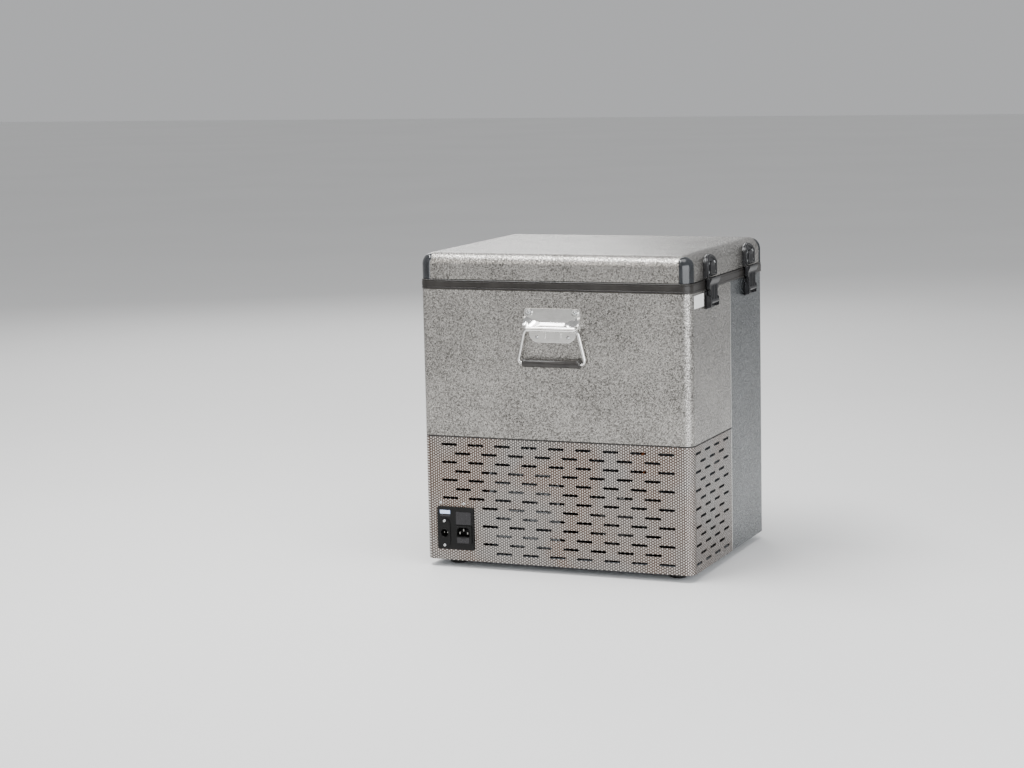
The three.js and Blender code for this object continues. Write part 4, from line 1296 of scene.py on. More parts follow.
        reach = corners(f"handle_{self.side}_grip")[1].x
        profile = [(self.rod, -reach), (self.grip * 0.86, -reach), (self.grip * 0.97, -reach + 0.7 * MM),
                   (self.grip, -reach + 1.8 * MM), (self.grip, -reach + 6 * MM),
                   (self.grip * 0.955, -reach + 6.6 * MM), (self.grip * 0.955, reach - 6.6 * MM),
                   (self.grip, reach - 6 * MM)]
        profile += [(self.grip, reach - 1.8 * MM), (self.grip * 0.97, reach - 0.7 * MM),
                    (self.grip * 0.86, reach), (self.rod, reach)]
        grip = Piece(f"drop_handle_{self.side}_grip", Finish.GRIP, body, f"handle_{self.side}_grip")
        grip.turned(profile, (0, y, self.bottom_z), (1, 0, 0), 28)
        self.spin(grip)
        grip.finish_piece(40, False)

    def build(self) -> None:
        """Make the whole handle."""
        self.plate()
        self.bail()


@dataclass
class SideLatch:
    """A black over-centre latch: base on the cabinet, lever, and arched catch on the lid.

    Attributes:
        place: front or rear.
    """

    place: str
    # Where the lid's rounded shoulder is, and how wide it is.
    shoulder_x: float = 214 * MM
    shoulder_z: float = 505 * MM
    shoulder_radius: float = 20 * MM
    # The keeper with its rim, its boss and its four screws. The faces are heights off the skin.
    keeper_half: float = 24 * MM
    keeper_top: float = 519 * MM
    keeper_face: float = 6.2 * MM
    rim_half: float = 21 * MM
    rim_spring: float = 504 * MM
    rim_rise: float = 12 * MM
    rim_wire: float = 2.4 * MM
    boss_half: float = 11 * MM
    boss_top: float = 509 * MM
    boss_face: float = 9.4 * MM
    screw_offset: float = 14.8 * MM
    screw_top: float = 507 * MM
    # The lever's pivot and its waist, and how thick the base's cheeks are.
    pivot_x: float = 243 * MM
    pivot_z: float = 446 * MM
    waist: float = 17.4 * MM
    waist_top: float = 464.5 * MM
    flare_low: float = 467.5 * MM
    cheek: float = 2.6 * MM

    def __post_init__(self) -> None:
        """Read the latch's place from the frame."""
        self.base = corners(f"latch_{self.place}_base")
        self.lever = corners(f"latch_{self.place}_lever")
        self.foot = corners(f"latch_{self.place}_catch")[0].z
        self.y = (self.base[0].y + self.base[1].y) / 2

    def shoulder(self, v: float, w: float, u: float) -> Vector:
        """Return a point of the keeper, v up the lid's skin, w proud of it and u along it.

        Args:
            v: How far up the skin.
            w: How far off the skin.
            u: How far along the skin.

        Returns:
            The point.
        """
        radius = self.shoulder_radius + w
        angle = max(v - self.shoulder_z, 0.0) / self.shoulder_radius
        rise = radius * math.sin(angle) + min(v - self.shoulder_z, 0.0)
        return Vector((self.shoulder_x + radius * math.cos(angle), u, self.shoulder_z + rise))

    def shield(self, half: float, foot: float, top: float, low: float, high: float,
               bevel: float) -> list[list[Vector]]:
        """Return an arched slab that hugs the lid's shoulder, with a rounded outer rim.

        Args:
            half: Half its width.
            foot: Where it starts, up the skin.
            top: Where its arch ends, up the skin.
            low: How far its back is off the skin.
            high: How far its face is off the skin.
            bevel: The radius of its outer rim.

        Returns:
            The slab's cross-sections, from the foot to the top.
        """
        spring = top - half * 0.62
        levels = [(foot, 1.0), (foot + bevel * 1.2, 1.0)]
        levels += [(foot + (spring - foot) * i / 6, 1.0) for i in range(1, 7)]
        levels += [(spring + (top - spring) * math.sin(a), math.cos(a))
                   for a in (math.pi / 2 * i / 12.3 for i in range(1, 13))]
        rings = []
        for v, share in levels:
            width = half * share
            left = min(bevel, width * 0.5)
            drop = bevel if v in (foot, levels[-1][0]) else 0.0
            side = [(width, low), (width, high - left - drop * 0.3),
                    (width - left * 0.3, high - left * 0.3 - drop), (width - left, high - drop),
                    (width * 0.33, high - drop)]
            section = [(-u, w) for u, w in side] + side[::-1]
            rings.append([self.shoulder(v, w, self.y + u) for u, w in section])
        return rings

    def keeper_piece(self) -> None:
        """Make the arched keeper with its rim, ribs, boss and screws."""
        foot, rim_foot = self.foot, self.foot + 3 * MM
        piece = Piece(f"side_latch_{self.place}_keeper", Finish.LATCH, "lid", f"latch_{self.place}_catch",
                      (Finish.ZINC,))
        piece.loft(self.shield(self.keeper_half, foot, self.keeper_top, 0.35 * MM, self.keeper_face,
                               1.6 * MM))
        crown = arc(0.0, self.rim_spring, self.rim_half, 180, 0, 20, self.rim_rise)
        arch = [(-self.rim_half, rim_foot), *crown, (self.rim_half, rim_foot)]
        rim = [self.shoulder(v, self.keeper_face + 0.2 * MM, self.y + u) for u, v in arch]
        piece.rod(rim, self.rim_wire, 10, True)
        piece.loft(self.shield(self.boss_half, foot + 2 * MM, self.boss_top, 5 * MM, self.boss_face,
                               1.4 * MM))
        for offset in (-self.screw_offset, self.screw_offset):
            for z in (foot + 8 * MM, self.screw_top):
                seat = self.shoulder(z, self.keeper_face, self.y + offset)
                angle = max(z - self.shoulder_z, 0) / self.shoulder_radius
                piece.screw(seat, (math.cos(angle), 0, math.sin(angle)), 2.7 * MM, 1)
        rib_low, rib_high = 242 * MM, 243.9 * MM
        for offset in (-5 * MM, 0.0, 5 * MM):
            piece.block((rib_low, self.y + offset - 0.9 * MM, foot + 5 * MM),
                        (rib_high, self.y + offset + 0.9 * MM, self.shoulder_z - 2 * MM), 0.5 * MM)
        piece.finish_piece(38)

    def lever_piece(self) -> None:
        """Make the waisted lever with its ribs and flared thumb lip."""
        low, high = self.lever
        y, half, waist = self.y, (high.y - low.y) / 2, self.waist
        back, top = low.x, high.z
        face = self.pivot_x + 1.8 * MM
        piece = Piece(f"side_latch_{self.place}_lever", Finish.LATCH, f"{self.place}_latch",
                      f"latch_{self.place}_lever")
        outline = rounded_polygon([(y - waist, self.pivot_z), (y + waist, self.pivot_z),
                                   (y + waist, self.waist_top), (y + half, self.flare_low), (y + half, top),
                                   (y - half, top), (y - half, self.flare_low), (y - waist, self.waist_top)],
                                  2.4 * MM, 4)
        piece.plate(outline, back, face, Plane.YZ, 0.9 * MM)
        piece.turned([(0, -waist), (3.3 * MM, -waist), (3.8 * MM, -waist + 0.5 * MM),
                      (3.8 * MM, waist - 0.5 * MM), (3.3 * MM, waist), (0, waist)],
                     (self.pivot_x, y, self.pivot_z), (0, 1, 0), 24)
        rib_top = top - 13 * MM
        lip = [(self.pivot_x, top), (face - MM, rib_top), (high.x - 0.8 * MM, top - 4.5 * MM),
               (high.x, top - 3 * MM), (high.x, top - 0.6 * MM), (high.x - 0.6 * MM, top)]
        piece.plate(lip, y - half + MM, y + half - MM, Plane.XZ, 0.5 * MM)
        for offset in (-12 * MM, -4 * MM, 4 * MM, 12 * MM):
            piece.block((face - MM, y + offset - 1.1 * MM, self.pivot_z + 3 * MM),
                        (face + 1.1 * MM, y + offset + 1.1 * MM, rib_top), 0.6 * MM)
        piece.finish_piece(35)

    def base_piece(self) -> None:
        """Make the base plate with its cheeks and pin heads."""
        low, high = self.base
        y, half = self.y, (high.y - low.y) / 2
        back = low.x
        piece = Piece(f"side_latch_{self.place}_base", Finish.LATCH, "cabinet", f"latch_{self.place}_base",
                      (Finish.ZINC,))
        outline = rounded_rect(half, (high.z - low.z) / 2, 3 * MM, 5, y, (high.z + low.z) / 2)
        piece.plate(outline, back, back + 3 * MM, Plane.YZ, 0.7 * MM)
        cheek = rounded_polygon([(back + MM, 435.2 * MM), (high.x, 437.5 * MM), (high.x, 452 * MM),
                                 (back + 3 * MM, 458 * MM), (back + MM, 458 * MM)], 2 * MM, 4)
        head = [(0, -0.4 * MM), (2.6 * MM, -0.4 * MM), (2.4 * MM, 0.5 * MM), (1.6 * MM, 0.9 * MM), (0, MM)]
        for sign in (-1, 1):
            outer, inner = y + sign * half, y + sign * (half - self.cheek)
            piece.plate(cheek, min(outer, inner), max(outer, inner), Plane.XZ, 0.5 * MM)
            piece.turned(head, (self.pivot_x, outer - sign * 1.1 * MM, self.pivot_z), (0, sign, 0), 16, 1)
        piece.finish_piece(35)

    def build(self) -> None:
        """Make the whole latch."""
        self.keeper_piece()
        self.lever_piece()
        self.base_piece()


@dataclass
class LidHinge:
    """A three-knuckle butt hinge on the hidden side.

    Attributes:
        place: front or rear.
        body_plate: The cabinet leaf's thickness.
        lid_plate: The lid leaf's thickness.
        leaf_half: Half the cabinet leaf's height.
        screw_pitch: How far the screws are apart.
        screw_head: The radius of a screw head.
        clearance: The gap between two knuckles, halved.
        pin_radius: The radius of the pin.
        pin_bore: The radius of the knuckle's bore.
    """

    place: str
    body_plate: float = 2.6 * MM
    lid_plate: float = 2 * MM
    leaf_half: float = 13.5 * MM
    screw_pitch: float = 20 * MM
    screw_head: float = 3.4 * MM
    clearance: float = 0.3 * MM
    pin_radius: float = 2.2 * MM
    pin_bore: float = 2.5 * MM

    def build(self) -> None:
        """Dress both leaves and the pin with softened plates and domed pan-head screws."""
        low = corners(f"hinge_{self.place}_body_leaf")[0]
        lid_high = corners(f"hinge_{self.place}_lid_leaf")[1]
        pin_low, pin_high = corners(f"hinge_{self.place}_pin")
        centre = (pin_low + pin_high) / 2
        y, half = centre.y, (pin_high.y - pin_low.y) / 2
        third = half / 3
        knuckle = centre.x - low.x
        wall = -CAB.half_x - 0.3 * MM
        screw_face = wall - self.body_plate
        body = Piece(f"lid_hinge_{self.place}_body_leaf", Finish.CHROME, "cabinet",
                     f"hinge_{self.place}_body_leaf", (Finish.ZINC,))
        leaf = rounded_rect(half, self.leaf_half, 3 * MM, 5, y, low.z + self.leaf_half)
        body.plate(leaf, screw_face, wall, Plane.YZ, 0.4 * MM)
        for sign in (-1, 1):
            y0, y1 = sorted((y + sign * (third + self.clearance), y + sign * half))
            body.block((wall - 2.2 * MM, y0, 460 * MM), (-CAB.half_x - 1.1 * MM, y1, centre.z), 0.3 * MM)
            self.knuckle(body, centre, knuckle, y0, y1)
            body.screw((screw_face, y + sign * self.screw_pitch, low.z + 9 * MM), (-1, 0, 0),
                       self.screw_head, 1)
        body.screw((screw_face, y, low.z + 18 * MM), (-1, 0, 0), self.screw_head, 1)
        body.finish_piece(35)

        lid = Piece(f"lid_hinge_{self.place}_lid_leaf", Finish.CHROME, "lid", f"hinge_{self.place}_lid_leaf",
                    (Finish.ZINC,))
        lid_wall = lid_high.x
        middle = (484 * MM + lid_high.z) / 2
        flap = rounded_rect(half, (lid_high.z - 484 * MM) / 2, 3 * MM, 5, y, middle)
        lid.plate(flap, lid_wall - self.lid_plate, lid_wall, Plane.YZ, 0.4 * MM)
        reach = third - self.clearance
        lid.block((centre.x, y - reach, 482.7 * MM), (lid_wall - 0.5 * MM, y + reach, 486 * MM), 0.4 * MM)
        lid.block((centre.x - 4 * MM, y - reach, centre.z + 2 * MM),
                  (centre.x + 0.8 * MM, y + reach, 486 * MM), 0.5 * MM)
        self.knuckle(lid, centre, knuckle, y - reach, y + reach)
        for offset in (-self.screw_pitch, 0.0, self.screw_pitch):
            lid.screw((lid_wall - self.lid_plate, y + offset, middle + 3 * MM), (-1, 0, 0),
                      self.screw_head, 1)
        lid.finish_piece(35)

        pin = Piece(f"lid_hinge_{self.place}_pin", Finish.ZINC, "cabinet", f"hinge_{self.place}_pin")
        radius = self.pin_radius
        pin.turned([(0, -half), (radius * 0.8, -half), (radius, -half + 0.5 * MM), (radius, half - 0.5 * MM),
                    (radius * 0.8, half), (0, half)], centre, (0, 1, 0), 16)
        pin.finish_piece(40, False)

    def knuckle(self, piece: Piece, centre: Vector, radius: float, y0: float, y1: float) -> None:
        """Add one knuckle, bored for the pin.

        Args:
            piece: The leaf that gets the knuckle.
            centre: The hinge's axis.
            radius: The knuckle's radius.
            y0: Where it starts.
            y1: Where it ends.
        """
        bore = self.pin_bore
        low, high = y0 - centre.y, y1 - centre.y
        profile = [(bore, low), (radius - 0.4 * MM, low), (radius, low + 0.4 * MM), (radius, high - 0.4 * MM),
                   (radius - 0.4 * MM, high), (bore, high)]
        turn = Vector((0, 0, 1)).rotation_difference(Vector((0, 1, 0)))
        rings = [[turn @ Vector((u, v, height)) + centre for u, v in circle(radius, 24)]
                 for radius, height in profile]
        piece.loft(rings, around=True)


@dataclass
class Feet:
    """Four ribbed rubber feet."""

    def build(self) -> None:
        """Turn each foot from one profile."""
        for name in ("front_left", "front_right", "rear_left", "rear_right"):
            low, high = corners(f"foot_{name}")
            centre = (low + high) / 2
            radius, height = (high.x - low.x) / 2, high.z - low.z
            profile = [(0.0, 1.2 * MM), (5 * MM, 1.2 * MM), (6 * MM, 0.0), (radius - 4 * MM, 0.0),
                       (radius - 2.9 * MM, 0.8 * MM), (radius - 2.1 * MM, height * 0.3),
                       (radius - 1.8 * MM, height * 0.5), (radius - 0.9 * MM, height * 0.56),
                       (radius - 0.3 * MM, height - 1.2 * MM), (radius - 0.9 * MM, height), (0.0, height)]
            foot = Piece(f"rubber_foot_{name}", Finish.RUBBER, "cabinet", f"foot_{name}")
            foot.turned(profile, (centre.x, centre.y, low.z), (0, 0, 1), 32)
            foot.finish_piece(40, False)


# ----------------------------------------------------------------------------- power inputs and controls
@dataclass
class PowerPanel:
    """The black plate with the lamp, the oval low-voltage socket and the mains inlet."""

    def build(self) -> None:
        """Make the plate and what is on it."""
        low, high = corners("power_panel")
        face = low.y
        half = Vector(((high.x - low.x) / 2, (high.z - low.z) / 2))
        middle = Vector(((high.x + low.x) / 2, (high.z + low.z) / 2))
        self.plate(face, high.y, half, middle)
        self.low_voltage(face)
        self.mains(face)
        lamp_low, lamp_high = corners("power_lamp")
        lamp = Piece("power_lamp_window", Finish.LAMP, "cabinet", "power_lamp")
        lamp.block(lamp_low, lamp_high, 0.4 * MM)
        lamp.finish_piece()

    def plate(self, face: float, back: float, half: Vector, middle: Vector) -> None:
        """Make the moulded plate, cut out behind both sockets.

        Args:
            face: The outer face along Y.
            back: The inner face along Y.
            half: Half the plate's size.
            middle: The plate's centre.
        """
        dc_low, dc_high = corners("dc_socket")
        ac_low, ac_high = corners("ac_inlet")
        dc = (dc_low + dc_high) / 2
        ac = (ac_low + ac_high) / 2
        outline = rounded_rect(half.x, half.y, 3 * MM, 5, middle.x, middle.y)
        round_hole = arc(dc.x, dc.z, 8.6 * MM, 0, 352, 28)
        square_hole = rounded_rect(12.2 * MM, 13.4 * MM, 1.5 * MM, 3, ac.x, ac.z)
        piece = Piece("power_panel_plate", Finish.PANEL, "cabinet", "power_panel",
                      (Finish.PATCH, Finish.SILVER))
        piece.take(punched(outline, [round_hole, square_hole], back - face, 0.4 * MM,
                           lambda u, v, w: Vector((u, face + w, v))))
        cover = rounded_rect(13.5 * MM, 10.8 * MM, 1.5 * MM, 4, ac.x, 84 * MM)
        piece.plate(cover, face - 0.7 * MM, face + 0.3 * MM, Plane.XZ, 0.4 * MM, 1)
        piece.block((-207.2 * MM, face - 0.5 * MM, 86.2 * MM), (-189 * MM, face + 0.3 * MM, 89.4 * MM),
                    0.2 * MM, 1)
        piece.finish_piece(35)

    def low_voltage(self, face: float) -> None:
        """Make the oval socket with two screws, a raised collar and nickel-plated contacts.

        Args:
            face: The panel's outer face along Y.
        """
        low, high = corners("dc_socket")
        dc = (low + high) / 2
        width = (high.x - low.x) / 2
        straight = (high.z - low.z) / 2 - width
        front = low.y
        piece = Piece("low_voltage_socket", Finish.PANEL, "cabinet", "dc_socket",
                      (Finish.ZINC, Finish.CONTACT))
        oval = [*arc(dc.x, dc.z + straight, width, 0, 180, 14),
                *arc(dc.x, dc.z - straight, width, 180, 360, 14)]
        bore = arc(dc.x, dc.z, 6.6 * MM, 0, 345, 24)
        thick = face - 0.3 * MM - front - 0.9 * MM
        piece.take(punched(oval, [bore], thick, 0.5 * MM,
                           lambda u, v, w: Vector((u, front + 0.9 * MM + w, v))))
        turn = [(8.2 * MM, 20 * MM), (8.2 * MM, 0.5 * MM), (7.8 * MM, 0.0), (6.9 * MM, 0.0),
                (6.5 * MM, 0.5 * MM),
                (6.5 * MM, 20 * MM)]
        rings = [[Vector((dc.x + r * math.cos(a), front + h, dc.z + r * math.sin(a)))
                  for a in (2 * math.pi * i / 32 for i in range(32))] for r, h in turn]
        piece.loft(rings, around=True)
        piece.turned([(0, 18 * MM), (6.6 * MM, 18 * MM), (6.6 * MM, 20 * MM), (0, 20 * MM)],
                     (dc.x, front, dc.z), (0, 1, 0), 24)
        for sign in (-1, 1):
            piece.screw((dc.x, front + 0.9 * MM, dc.z + sign * 20.4 * MM), (0, -1, 0), 2.6 * MM, 1)
            piece.block((dc.x + sign * 3 * MM - 0.7 * MM, front + 7 * MM, dc.z - 1.6 * MM),
                        (dc.x + sign * 3 * MM + 0.7 * MM, front + 19 * MM, dc.z + 1.6 * MM), 0.3 * MM, 2)
        piece.finish_piece(35)

    def mains(self, face: float) -> None:
        """Make the mains inlet with its hollow, pins and fuse drawer.

        Args:
            face: The panel's outer face along Y.
        """
        low, high = corners("ac_inlet")
        ac = (low + high) / 2
        front = low.y
        rim_half = Vector(((high.x - low.x) / 2, (high.z - low.z) / 2))
        piece = Piece("mains_inlet", Finish.PANEL, "cabinet", "ac_inlet", (Finish.CONTACT, Finish.PATCH))
        mouth = [(ac.x - 11.3 * MM, ac.z - 3.4 * MM), (ac.x + 11.3 * MM, ac.z - 3.4 * MM),
                 (ac.x + 11.3 * MM, ac.z + 8.2 * MM), (ac.x + 7.3 * MM, ac.z + 12.2 * MM),
                 (ac.x - 7.3 * MM, ac.z + 12.2 * MM), (ac.x - 11.3 * MM, ac.z + 8.2 * MM)]
        mouth = rounded_polygon(mouth, 1.2 * MM, 3)
        rim = rounded_rect(rim_half.x, rim_half.y, 2 * MM, 4, ac.x, ac.z)
        start = front + 0.8 * MM
        piece.take(punched(rim, [mouth], face - 0.3 * MM - start, 0.5 * MM,
                           lambda u, v, w: Vector((u, start + w, v))))
        collar = [(1.0, 2 * MM), (1.0, 17 * MM), (1.06, 17 * MM), (1.06, 2 * MM)]
        rings = []
        for scale, depth in collar:
            rings.append([Vector((ac.x + (u - ac.x) * scale, start + depth,
                                  ac.z + 4.4 * MM + (v - ac.z - 4.4 * MM) * scale))
                          for u, v in mouth])
        piece.loft(rings, around=True)
        piece.plate(mouth, start + 16 * MM, start + 18 * MM, Plane.XZ, 0.0)
        for dx in (-7, 0, 7):
            z0 = ac.z + (5.5 if dx == 0 else 0.5) * MM
            piece.block((ac.x + (dx - 1) * MM, start + 2.4 * MM, z0),
                        (ac.x + (dx + 1) * MM, start + 17 * MM, z0 + 4 * MM),
                        0.5 * MM, 1)
        piece.plate(rounded_rect(11 * MM, 4.7 * MM, 1 * MM, 4, ac.x, ac.z - 9.3 * MM), front, start + MM,
                    Plane.XZ,
                    0.3 * MM, 2)
        piece.block((ac.x - 4 * MM, front, ac.z - 6.6 * MM), (ac.x + 4 * MM, front + MM, ac.z - 5.4 * MM),
                    0.2 * MM)
        piece.finish_piece(35)


@dataclass
class ControlPanel:
    """The display and three sprung buttons on the hinge side."""

    def build(self) -> None:
        """Make the bezel, the window and the buttons."""
        low, high = corners("control_bezel")
        half = Vector(((high.y - low.y) / 2, (high.z - low.z) / 2))
        middle = Vector(((high.y + low.y) / 2, (high.z + low.z) / 2))
        outline = rounded_rect(half.x, half.y, 5 * MM, 6, middle.x, middle.y)
        screen_low, screen_high = corners("control_display")
        holes = [rounded_rect((screen_high.y - screen_low.y) / 2 + 0.3 * MM,
                              (screen_high.z - screen_low.z) / 2 + 0.3 * MM,
                              1 * MM, 3, (screen_high.y + screen_low.y) / 2,
                              (screen_high.z + screen_low.z) / 2)]
        for name in ("power", "up", "down"):
            cap_low, cap_high = corners(f"button_{name}")
            holes.append(rounded_rect((cap_high.y - cap_low.y) / 2 + 0.3 * MM,
                                      (cap_high.z - cap_low.z) / 2 + 0.3 * MM,
                                      1 * MM, 3, (cap_high.y + cap_low.y) / 2, (cap_high.z + cap_low.z) / 2))
            button = Piece(f"control_button_{name}", Finish.RUBBER, f"{name}_button", f"button_{name}",
                           (Finish.SILVER,))
            button.block(cap_low, cap_high, 0.9 * MM, 0, 3)
            self.mark(button, name, cap_low, cap_high)
            button.finish_piece(35)
        bezel = Piece("control_panel_bezel", Finish.PANEL, "cabinet", "control_bezel")
        bezel.take(punched(outline, holes, 2.2 * MM, 0.5 * MM, lambda u, v, w: Vector((low.x + w, u, v))))
        bezel.plate(rounded_rect(half.x - 0.3 * MM, half.y - 0.3 * MM, 4.7 * MM, 6, middle.x, middle.y),
                    low.x + 4.9 * MM, high.x, Plane.YZ, 0.2 * MM)
        rings = [[Vector((x, u, v)) for u, v in
                  rounded_rect(half.x - inset, half.y - inset, 5 * MM - inset, 6, middle.x, middle.y)]
                 for inset, x in ((0.1 * MM, low.x + 1.6 * MM), (0.1 * MM, high.x - 0.4 * MM),
                                  (2 * MM, high.x - 0.4 * MM), (2 * MM, low.x + 1.6 * MM))]
        bezel.loft(rings, around=True)
        bezel.finish_piece(35)
        window = Piece("control_panel_window", Finish.SCREEN, "cabinet", "control_display")
        window.block(screen_low, screen_high, 0.3 * MM)
        window.finish_piece()

    def mark(self, button: Piece, name: str, low: Vector, high: Vector) -> None:
        """Print a plain symbol on a button: a ring for power, or an arrow.

        Args:
            button: The button's piece.
            name: The button's name.
            low: The button's low corner.
            high: The button's high corner.
        """
        y, z, face = (low.y + high.y) / 2, (low.z + high.z) / 2, low.x
        if name == "power":
            ring = [Vector((face + 0.06 * MM, y + u, z + v)) for u, v in circle(2 * MM, 20)]
            button.rod(ring, 0.25 * MM, 6, True, 1)
            return
        sign = 1 if name == "up" else -1
        arrow = [(y - 2.2 * MM, z - sign * 1.2 * MM), (y + 2.2 * MM, z - sign * 1.2 * MM),
                 (y, z + sign * 1.8 * MM)]
        button.plate(arrow, face - 0.01 * MM, face + 0.3 * MM, Plane.YZ, 0.0, 1)


# ----------------------------------------------------------------------------- inside and small pieces
@dataclass
class Basket:
    """A removable basket of dipped round wire."""

    wire: float = 1.5 * MM
    thin: float = 1.05 * MM
    columns: int = 17
    rings: int = 4

    def build(self) -> None:
        """Make the rims, the upright wires and the floor wires."""
        low, high = corners("wire_basket")
        piece = Piece("dipped_wire_basket", Finish.WIRE, "cabinet", "wire_basket")
        half_x, half_y = high.x - self.wire, (high.y - low.y) / 2 - self.wire
        middle = (low.y + high.y) / 2
        for i in range(self.rings):
            z = low.z + self.wire + i * (high.z - low.z - 2 * self.wire) / (self.rings - 1)
            outline = rounded_rect(half_x, half_y, 9 * MM, 5, 0, middle)
            piece.rod([Vector((x, y, z)) for x, y in outline], self.wire, 8, True)
        inset = self.wire + self.thin * 0.4
        for i in range(self.columns):
            x = -half_x + 14 * MM + i * 2 * (half_x - 14 * MM) / (self.columns - 1)
            piece.rod(self.upright(x, middle, half_y - inset, low.z, high.z), self.thin, 7)
        for sign in (-1, 1):
            for y in (middle - half_y * 0.55, middle - half_y * 0.18, middle + half_y * 0.18,
                      middle + half_y * 0.55):
                x = sign * (half_x - inset)
                piece.rod([Vector((x, y, low.z + self.thin)), Vector((x, y, high.z - 2 * self.wire))],
                          self.thin, 7)
        for y in (middle - half_y * 0.5, middle, middle + half_y * 0.5):
            z = low.z + self.thin * 2.6
            piece.rod([Vector((-half_x, y, z)), Vector((half_x, y, z))], self.thin, 7)
        piece.finish_piece(60, False)

    def upright(self, x: float, middle: float, half: float, low: float, high: float) -> list[Vector]:
        """Return one wire's path: down one side, across the floor and up the other.

        Args:
            x: Where the wire is along X.
            middle: The basket's centre along Y.
            half: Half its depth.
            low: The basket's foot.
            high: The basket's top.

        Returns:
            The points of the wire.
        """
        bend = 8 * MM
        floor = low + self.thin
        top = high - 2 * self.wire
        left = arc(middle - half + bend, floor + bend, bend, 180, 270, 5)
        right = arc(middle + half - bend, floor + bend, bend, 270, 360, 5)
        path = [(middle - half, top), *left, *right, (middle + half, top)]
        return [Vector((x, y, z)) for y, z in path]


@dataclass
class Tub:
    """The moulded food tub: full width over the machine bay, with a deep well behind it."""

    half_x: float = 197 * MM
    half_y: float = 154 * MM
    corner: float = 15 * MM
    wall: float = 1.5 * MM
    fold: float = 12 * MM
    edge: float = 8 * MM
    step: float = 262 * MM
    floor: float = 60 * MM
    well_front: float = 45 * MM
    flange: float = 1.8 * MM

    def ring(self, grow: float, front: POINT2, rear_z: float) -> list[Vector]:
        """Return one level of the wall, with its front edge at (y, z) and its rear edge at rear_z.

        Args:
            grow: How far it is outside the tub's inner face.
            front: The (y, z) of its front edge.
            rear_z: The height of its rear edge.

        Returns:
            The points of the level.
        """
        front_y, front_z = front
        rear_y = self.half_y + grow
        middle = (front_y + rear_y) / 2
        outline = rounded_rect(self.half_x + grow, rear_y - middle, max(self.corner + grow, 3 * MM), 6, 0,
                               middle)
        return [Vector((x, y, front_z if y < middle else rear_z)) for x, y in outline]

    def rings(self, grow: float, top: float) -> list[list[Vector]]:
        """Return a skin's levels from the rim to the floor.

        Args:
            grow: How far the skin is outside the tub's inner face.
            top: The height of the first level.

        Returns:
            The levels, with the same number of points in each.
        """
        path = [(-self.half_y - grow, top)]
        path += arc(-self.half_y + self.fold, self.step + self.fold, self.fold + grow, 180, 270, 6)
        path += arc(self.well_front - self.edge, self.step - self.edge, self.edge - grow, 90, 0, 5)
        path.append((self.well_front - grow, self.floor + self.fold))
        low = self.floor + self.fold
        last = len(path) - 1
        levels = [self.ring(grow, front, top + (low - top) * i / last) for i, front in enumerate(path)]
        for i in range(1, 7):
            angle = math.pi / 2 * i / 6
            inward = grow - (self.fold + grow) * (1 - math.cos(angle))
            z = low - (self.fold + grow) * math.sin(angle)
            levels.append(self.ring(inward, (self.well_front - inward, z), z))
        return levels

    def build(self) -> None:
        """Make the tub with its rim flange and its rounded floor."""
        rim = corners("inner_tub")[1]
        top, lip = rim.z, rim.x - self.half_x
        below = top - self.flange
        outside = self.rings(self.wall, below)[::-1]
        flange = [self.ring(lip, (-self.half_y - lip, z), z) for z in (below, top)]
        piece = Piece("food_tub_moulding", Finish.LINER, "cabinet", "inner_tub")
        piece.loft([*outside, *flange, *self.rings(0.0, top)])
        piece.finish_piece(50)


@dataclass
class SideLabel:
    """The blank label beside the front latch."""

    corner: float = 1.5 * MM

    def build(self) -> None:
        """Make the label with rounded corners."""
        low, high = corners("side_label")
        outline = rounded_rect((high.y - low.y) / 2, (high.z - low.z) / 2, self.corner, 4,
                               (low.y + high.y) / 2, (low.z + high.z) / 2)
        piece = Piece("blank_side_label", Finish.LABEL, "cabinet", "side_label")
        piece.plate(outline, low.x, high.x, Plane.YZ, 0.1 * MM, steps=1)
        piece.finish_piece()


CAD_FINISHES = {
    "base_pan": Finish.GALVANISED,
    "bay_bulkhead": Finish.GALVANISED,
    "compressor_bracket": Finish.GALVANISED,
    "insulation_foam": Finish.FOAM,
    "lid_foam": Finish.FOAM,
    "compressor": Finish.ENAMEL,
    "condenser": Finish.MILL,
    "fan_shroud": Finish.PANEL,
    "fan_rotor": Finish.PANEL,
    "suction_tube": Finish.COPPER,
    "discharge_tube": Finish.COPPER,
    "drier_filter": Finish.COPPER,
    "motor_controller": Finish.PANEL,
}


def dress_cad_nodes() -> None:
    """Give each CAD node that stays in view its real material."""
    for node, finish in CAD_FINISHES.items():
        for slot in bpy.data.objects[node].material_slots:
            slot.material = finish.material()


# ----------------------------------------------------------------------------- studio
@dataclass(frozen=True)
class Softbox:
    """One soft area light, aimed at the middle of the object."""

    name: str
    place: FLOAT3
    size: tuple[float, float]
    power: float
    tint: str = "ffffff"

    def build(self, target: Vector) -> None:
        """Add the light to the scene.

        Args:
            target: The point that it aims at.
        """
        data = bpy.data.lights.new(self.name, "AREA")
        data.shape = "RECTANGLE"
        data.size, data.size_y = self.size
        data.energy = self.power
        data.color = srgb(self.tint)[:3]
        light = bpy.data.objects.new(self.name, data)
        light.location = self.place
        light.rotation_euler = (target - Vector(self.place)).to_track_quat("-Z", "Y").to_euler()
        bpy.context.scene.collection.objects.link(light)


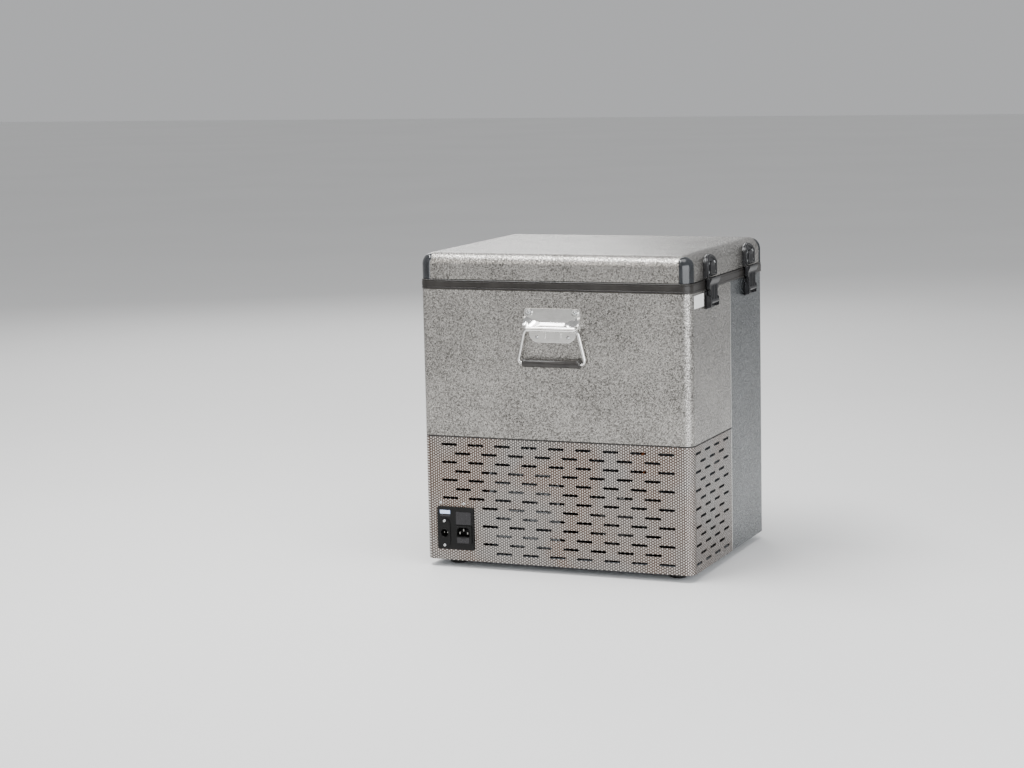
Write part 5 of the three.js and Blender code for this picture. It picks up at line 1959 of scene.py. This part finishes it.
@dataclass
class Studio:
    """Floor, world, lights and camera."""

    camera_place: FLOAT3 = (1.4575, -3.785, 0.8757)
    yaw: float = 23.08
    pitch: float = 8.21
    roll: float = 1.28
    lens: float = 85.1
    lights: tuple[Softbox, ...] = (
        Softbox("key_softbox", (-1.7, -3.0, 2.3), (1.6, 1.6), 32, "fffaf4"),
        Softbox("side_softbox", (2.4, -1.9, 0.9), (3.0, 1.7), 100, "f7f9fd"),
        Softbox("top_softbox", (0.1, -0.5, 2.6), (2.4, 1.2), 45),
        Softbox("lid_strip", (-0.75, -0.55, 2.5), (2.4, 0.3), 60),
        Softbox("rear_softbox", (-1.8, 2.8, 2.0), (1.8, 1.6), 40),
    )

    def build(self) -> None:
        """Make the whole stage."""
        self.floor()
        self.world()
        for light in self.lights:
            light.build(Vector((0.0, 0.0, 0.25)))
        self.camera()

    def floor(self) -> None:
        """Make a large pale floor."""
        graph = Graph("pale_studio_floor")
        cloud = graph.noise(900, 3.0)
        graph.surface(Base_Color=graph.blend(cloud, srgb("e9e9e8"), srgb("f2f2f1")), Roughness=0.7)
        data = bpy.data.meshes.new("studio_floor")
        part = bmesh.new()
        bmesh.ops.create_grid(part, x_segments=1, y_segments=1, size=20.0)
        part.to_mesh(data)
        part.free()
        data.materials.append(graph.material)
        floor = bpy.data.objects.new("studio_floor", data)
        bpy.context.scene.collection.objects.link(floor)

    def world(self) -> None:
        """Make an even pale surround."""
        world = bpy.data.worlds.new("pale_surround")
        bpy.context.scene.world = world
        world.use_nodes = True
        background = world.node_tree.nodes["Background"]
        background.inputs["Color"].default_value = srgb("f4f5f7")
        background.inputs["Strength"].default_value = 0.55

    def camera(self) -> None:
        """Aim the camera by its yaw, pitch and roll."""
        yaw, pitch = math.radians(self.yaw), math.radians(self.pitch)
        ahead = Vector((-math.sin(yaw) * math.cos(pitch), math.cos(yaw) * math.cos(pitch), -math.sin(pitch)))
        level = ahead.to_track_quat("-Z", "Y")
        data = bpy.data.cameras.new("product_camera")
        data.lens = self.lens
        data.sensor_width = 36.0
        camera = bpy.data.objects.new("product_camera", data)
        camera.location = self.camera_place
        camera.rotation_mode = "QUATERNION"
        camera.rotation_quaternion = level @ Quaternion((0, 0, 1), math.radians(-self.roll))
        bpy.context.scene.collection.objects.link(camera)
        bpy.context.scene.camera = camera


def main() -> None:
    """Build the object and its studio."""
    logging.basicConfig(level=logging.INFO)
    Studio().build()
    CabinetSkins().build()
    VentCover().build()
    Lid().build()
    for side in ("front", "rear"):
        DropHandle(side).build()
        SideLatch(side).build()
        LidHinge(side).build()
    Feet().build()
    PowerPanel().build()
    ControlPanel().build()
    Tub().build()
    Basket().build()
    SideLabel().build()
    dress_cad_nodes()


if __name__ == "__main__":
    main()
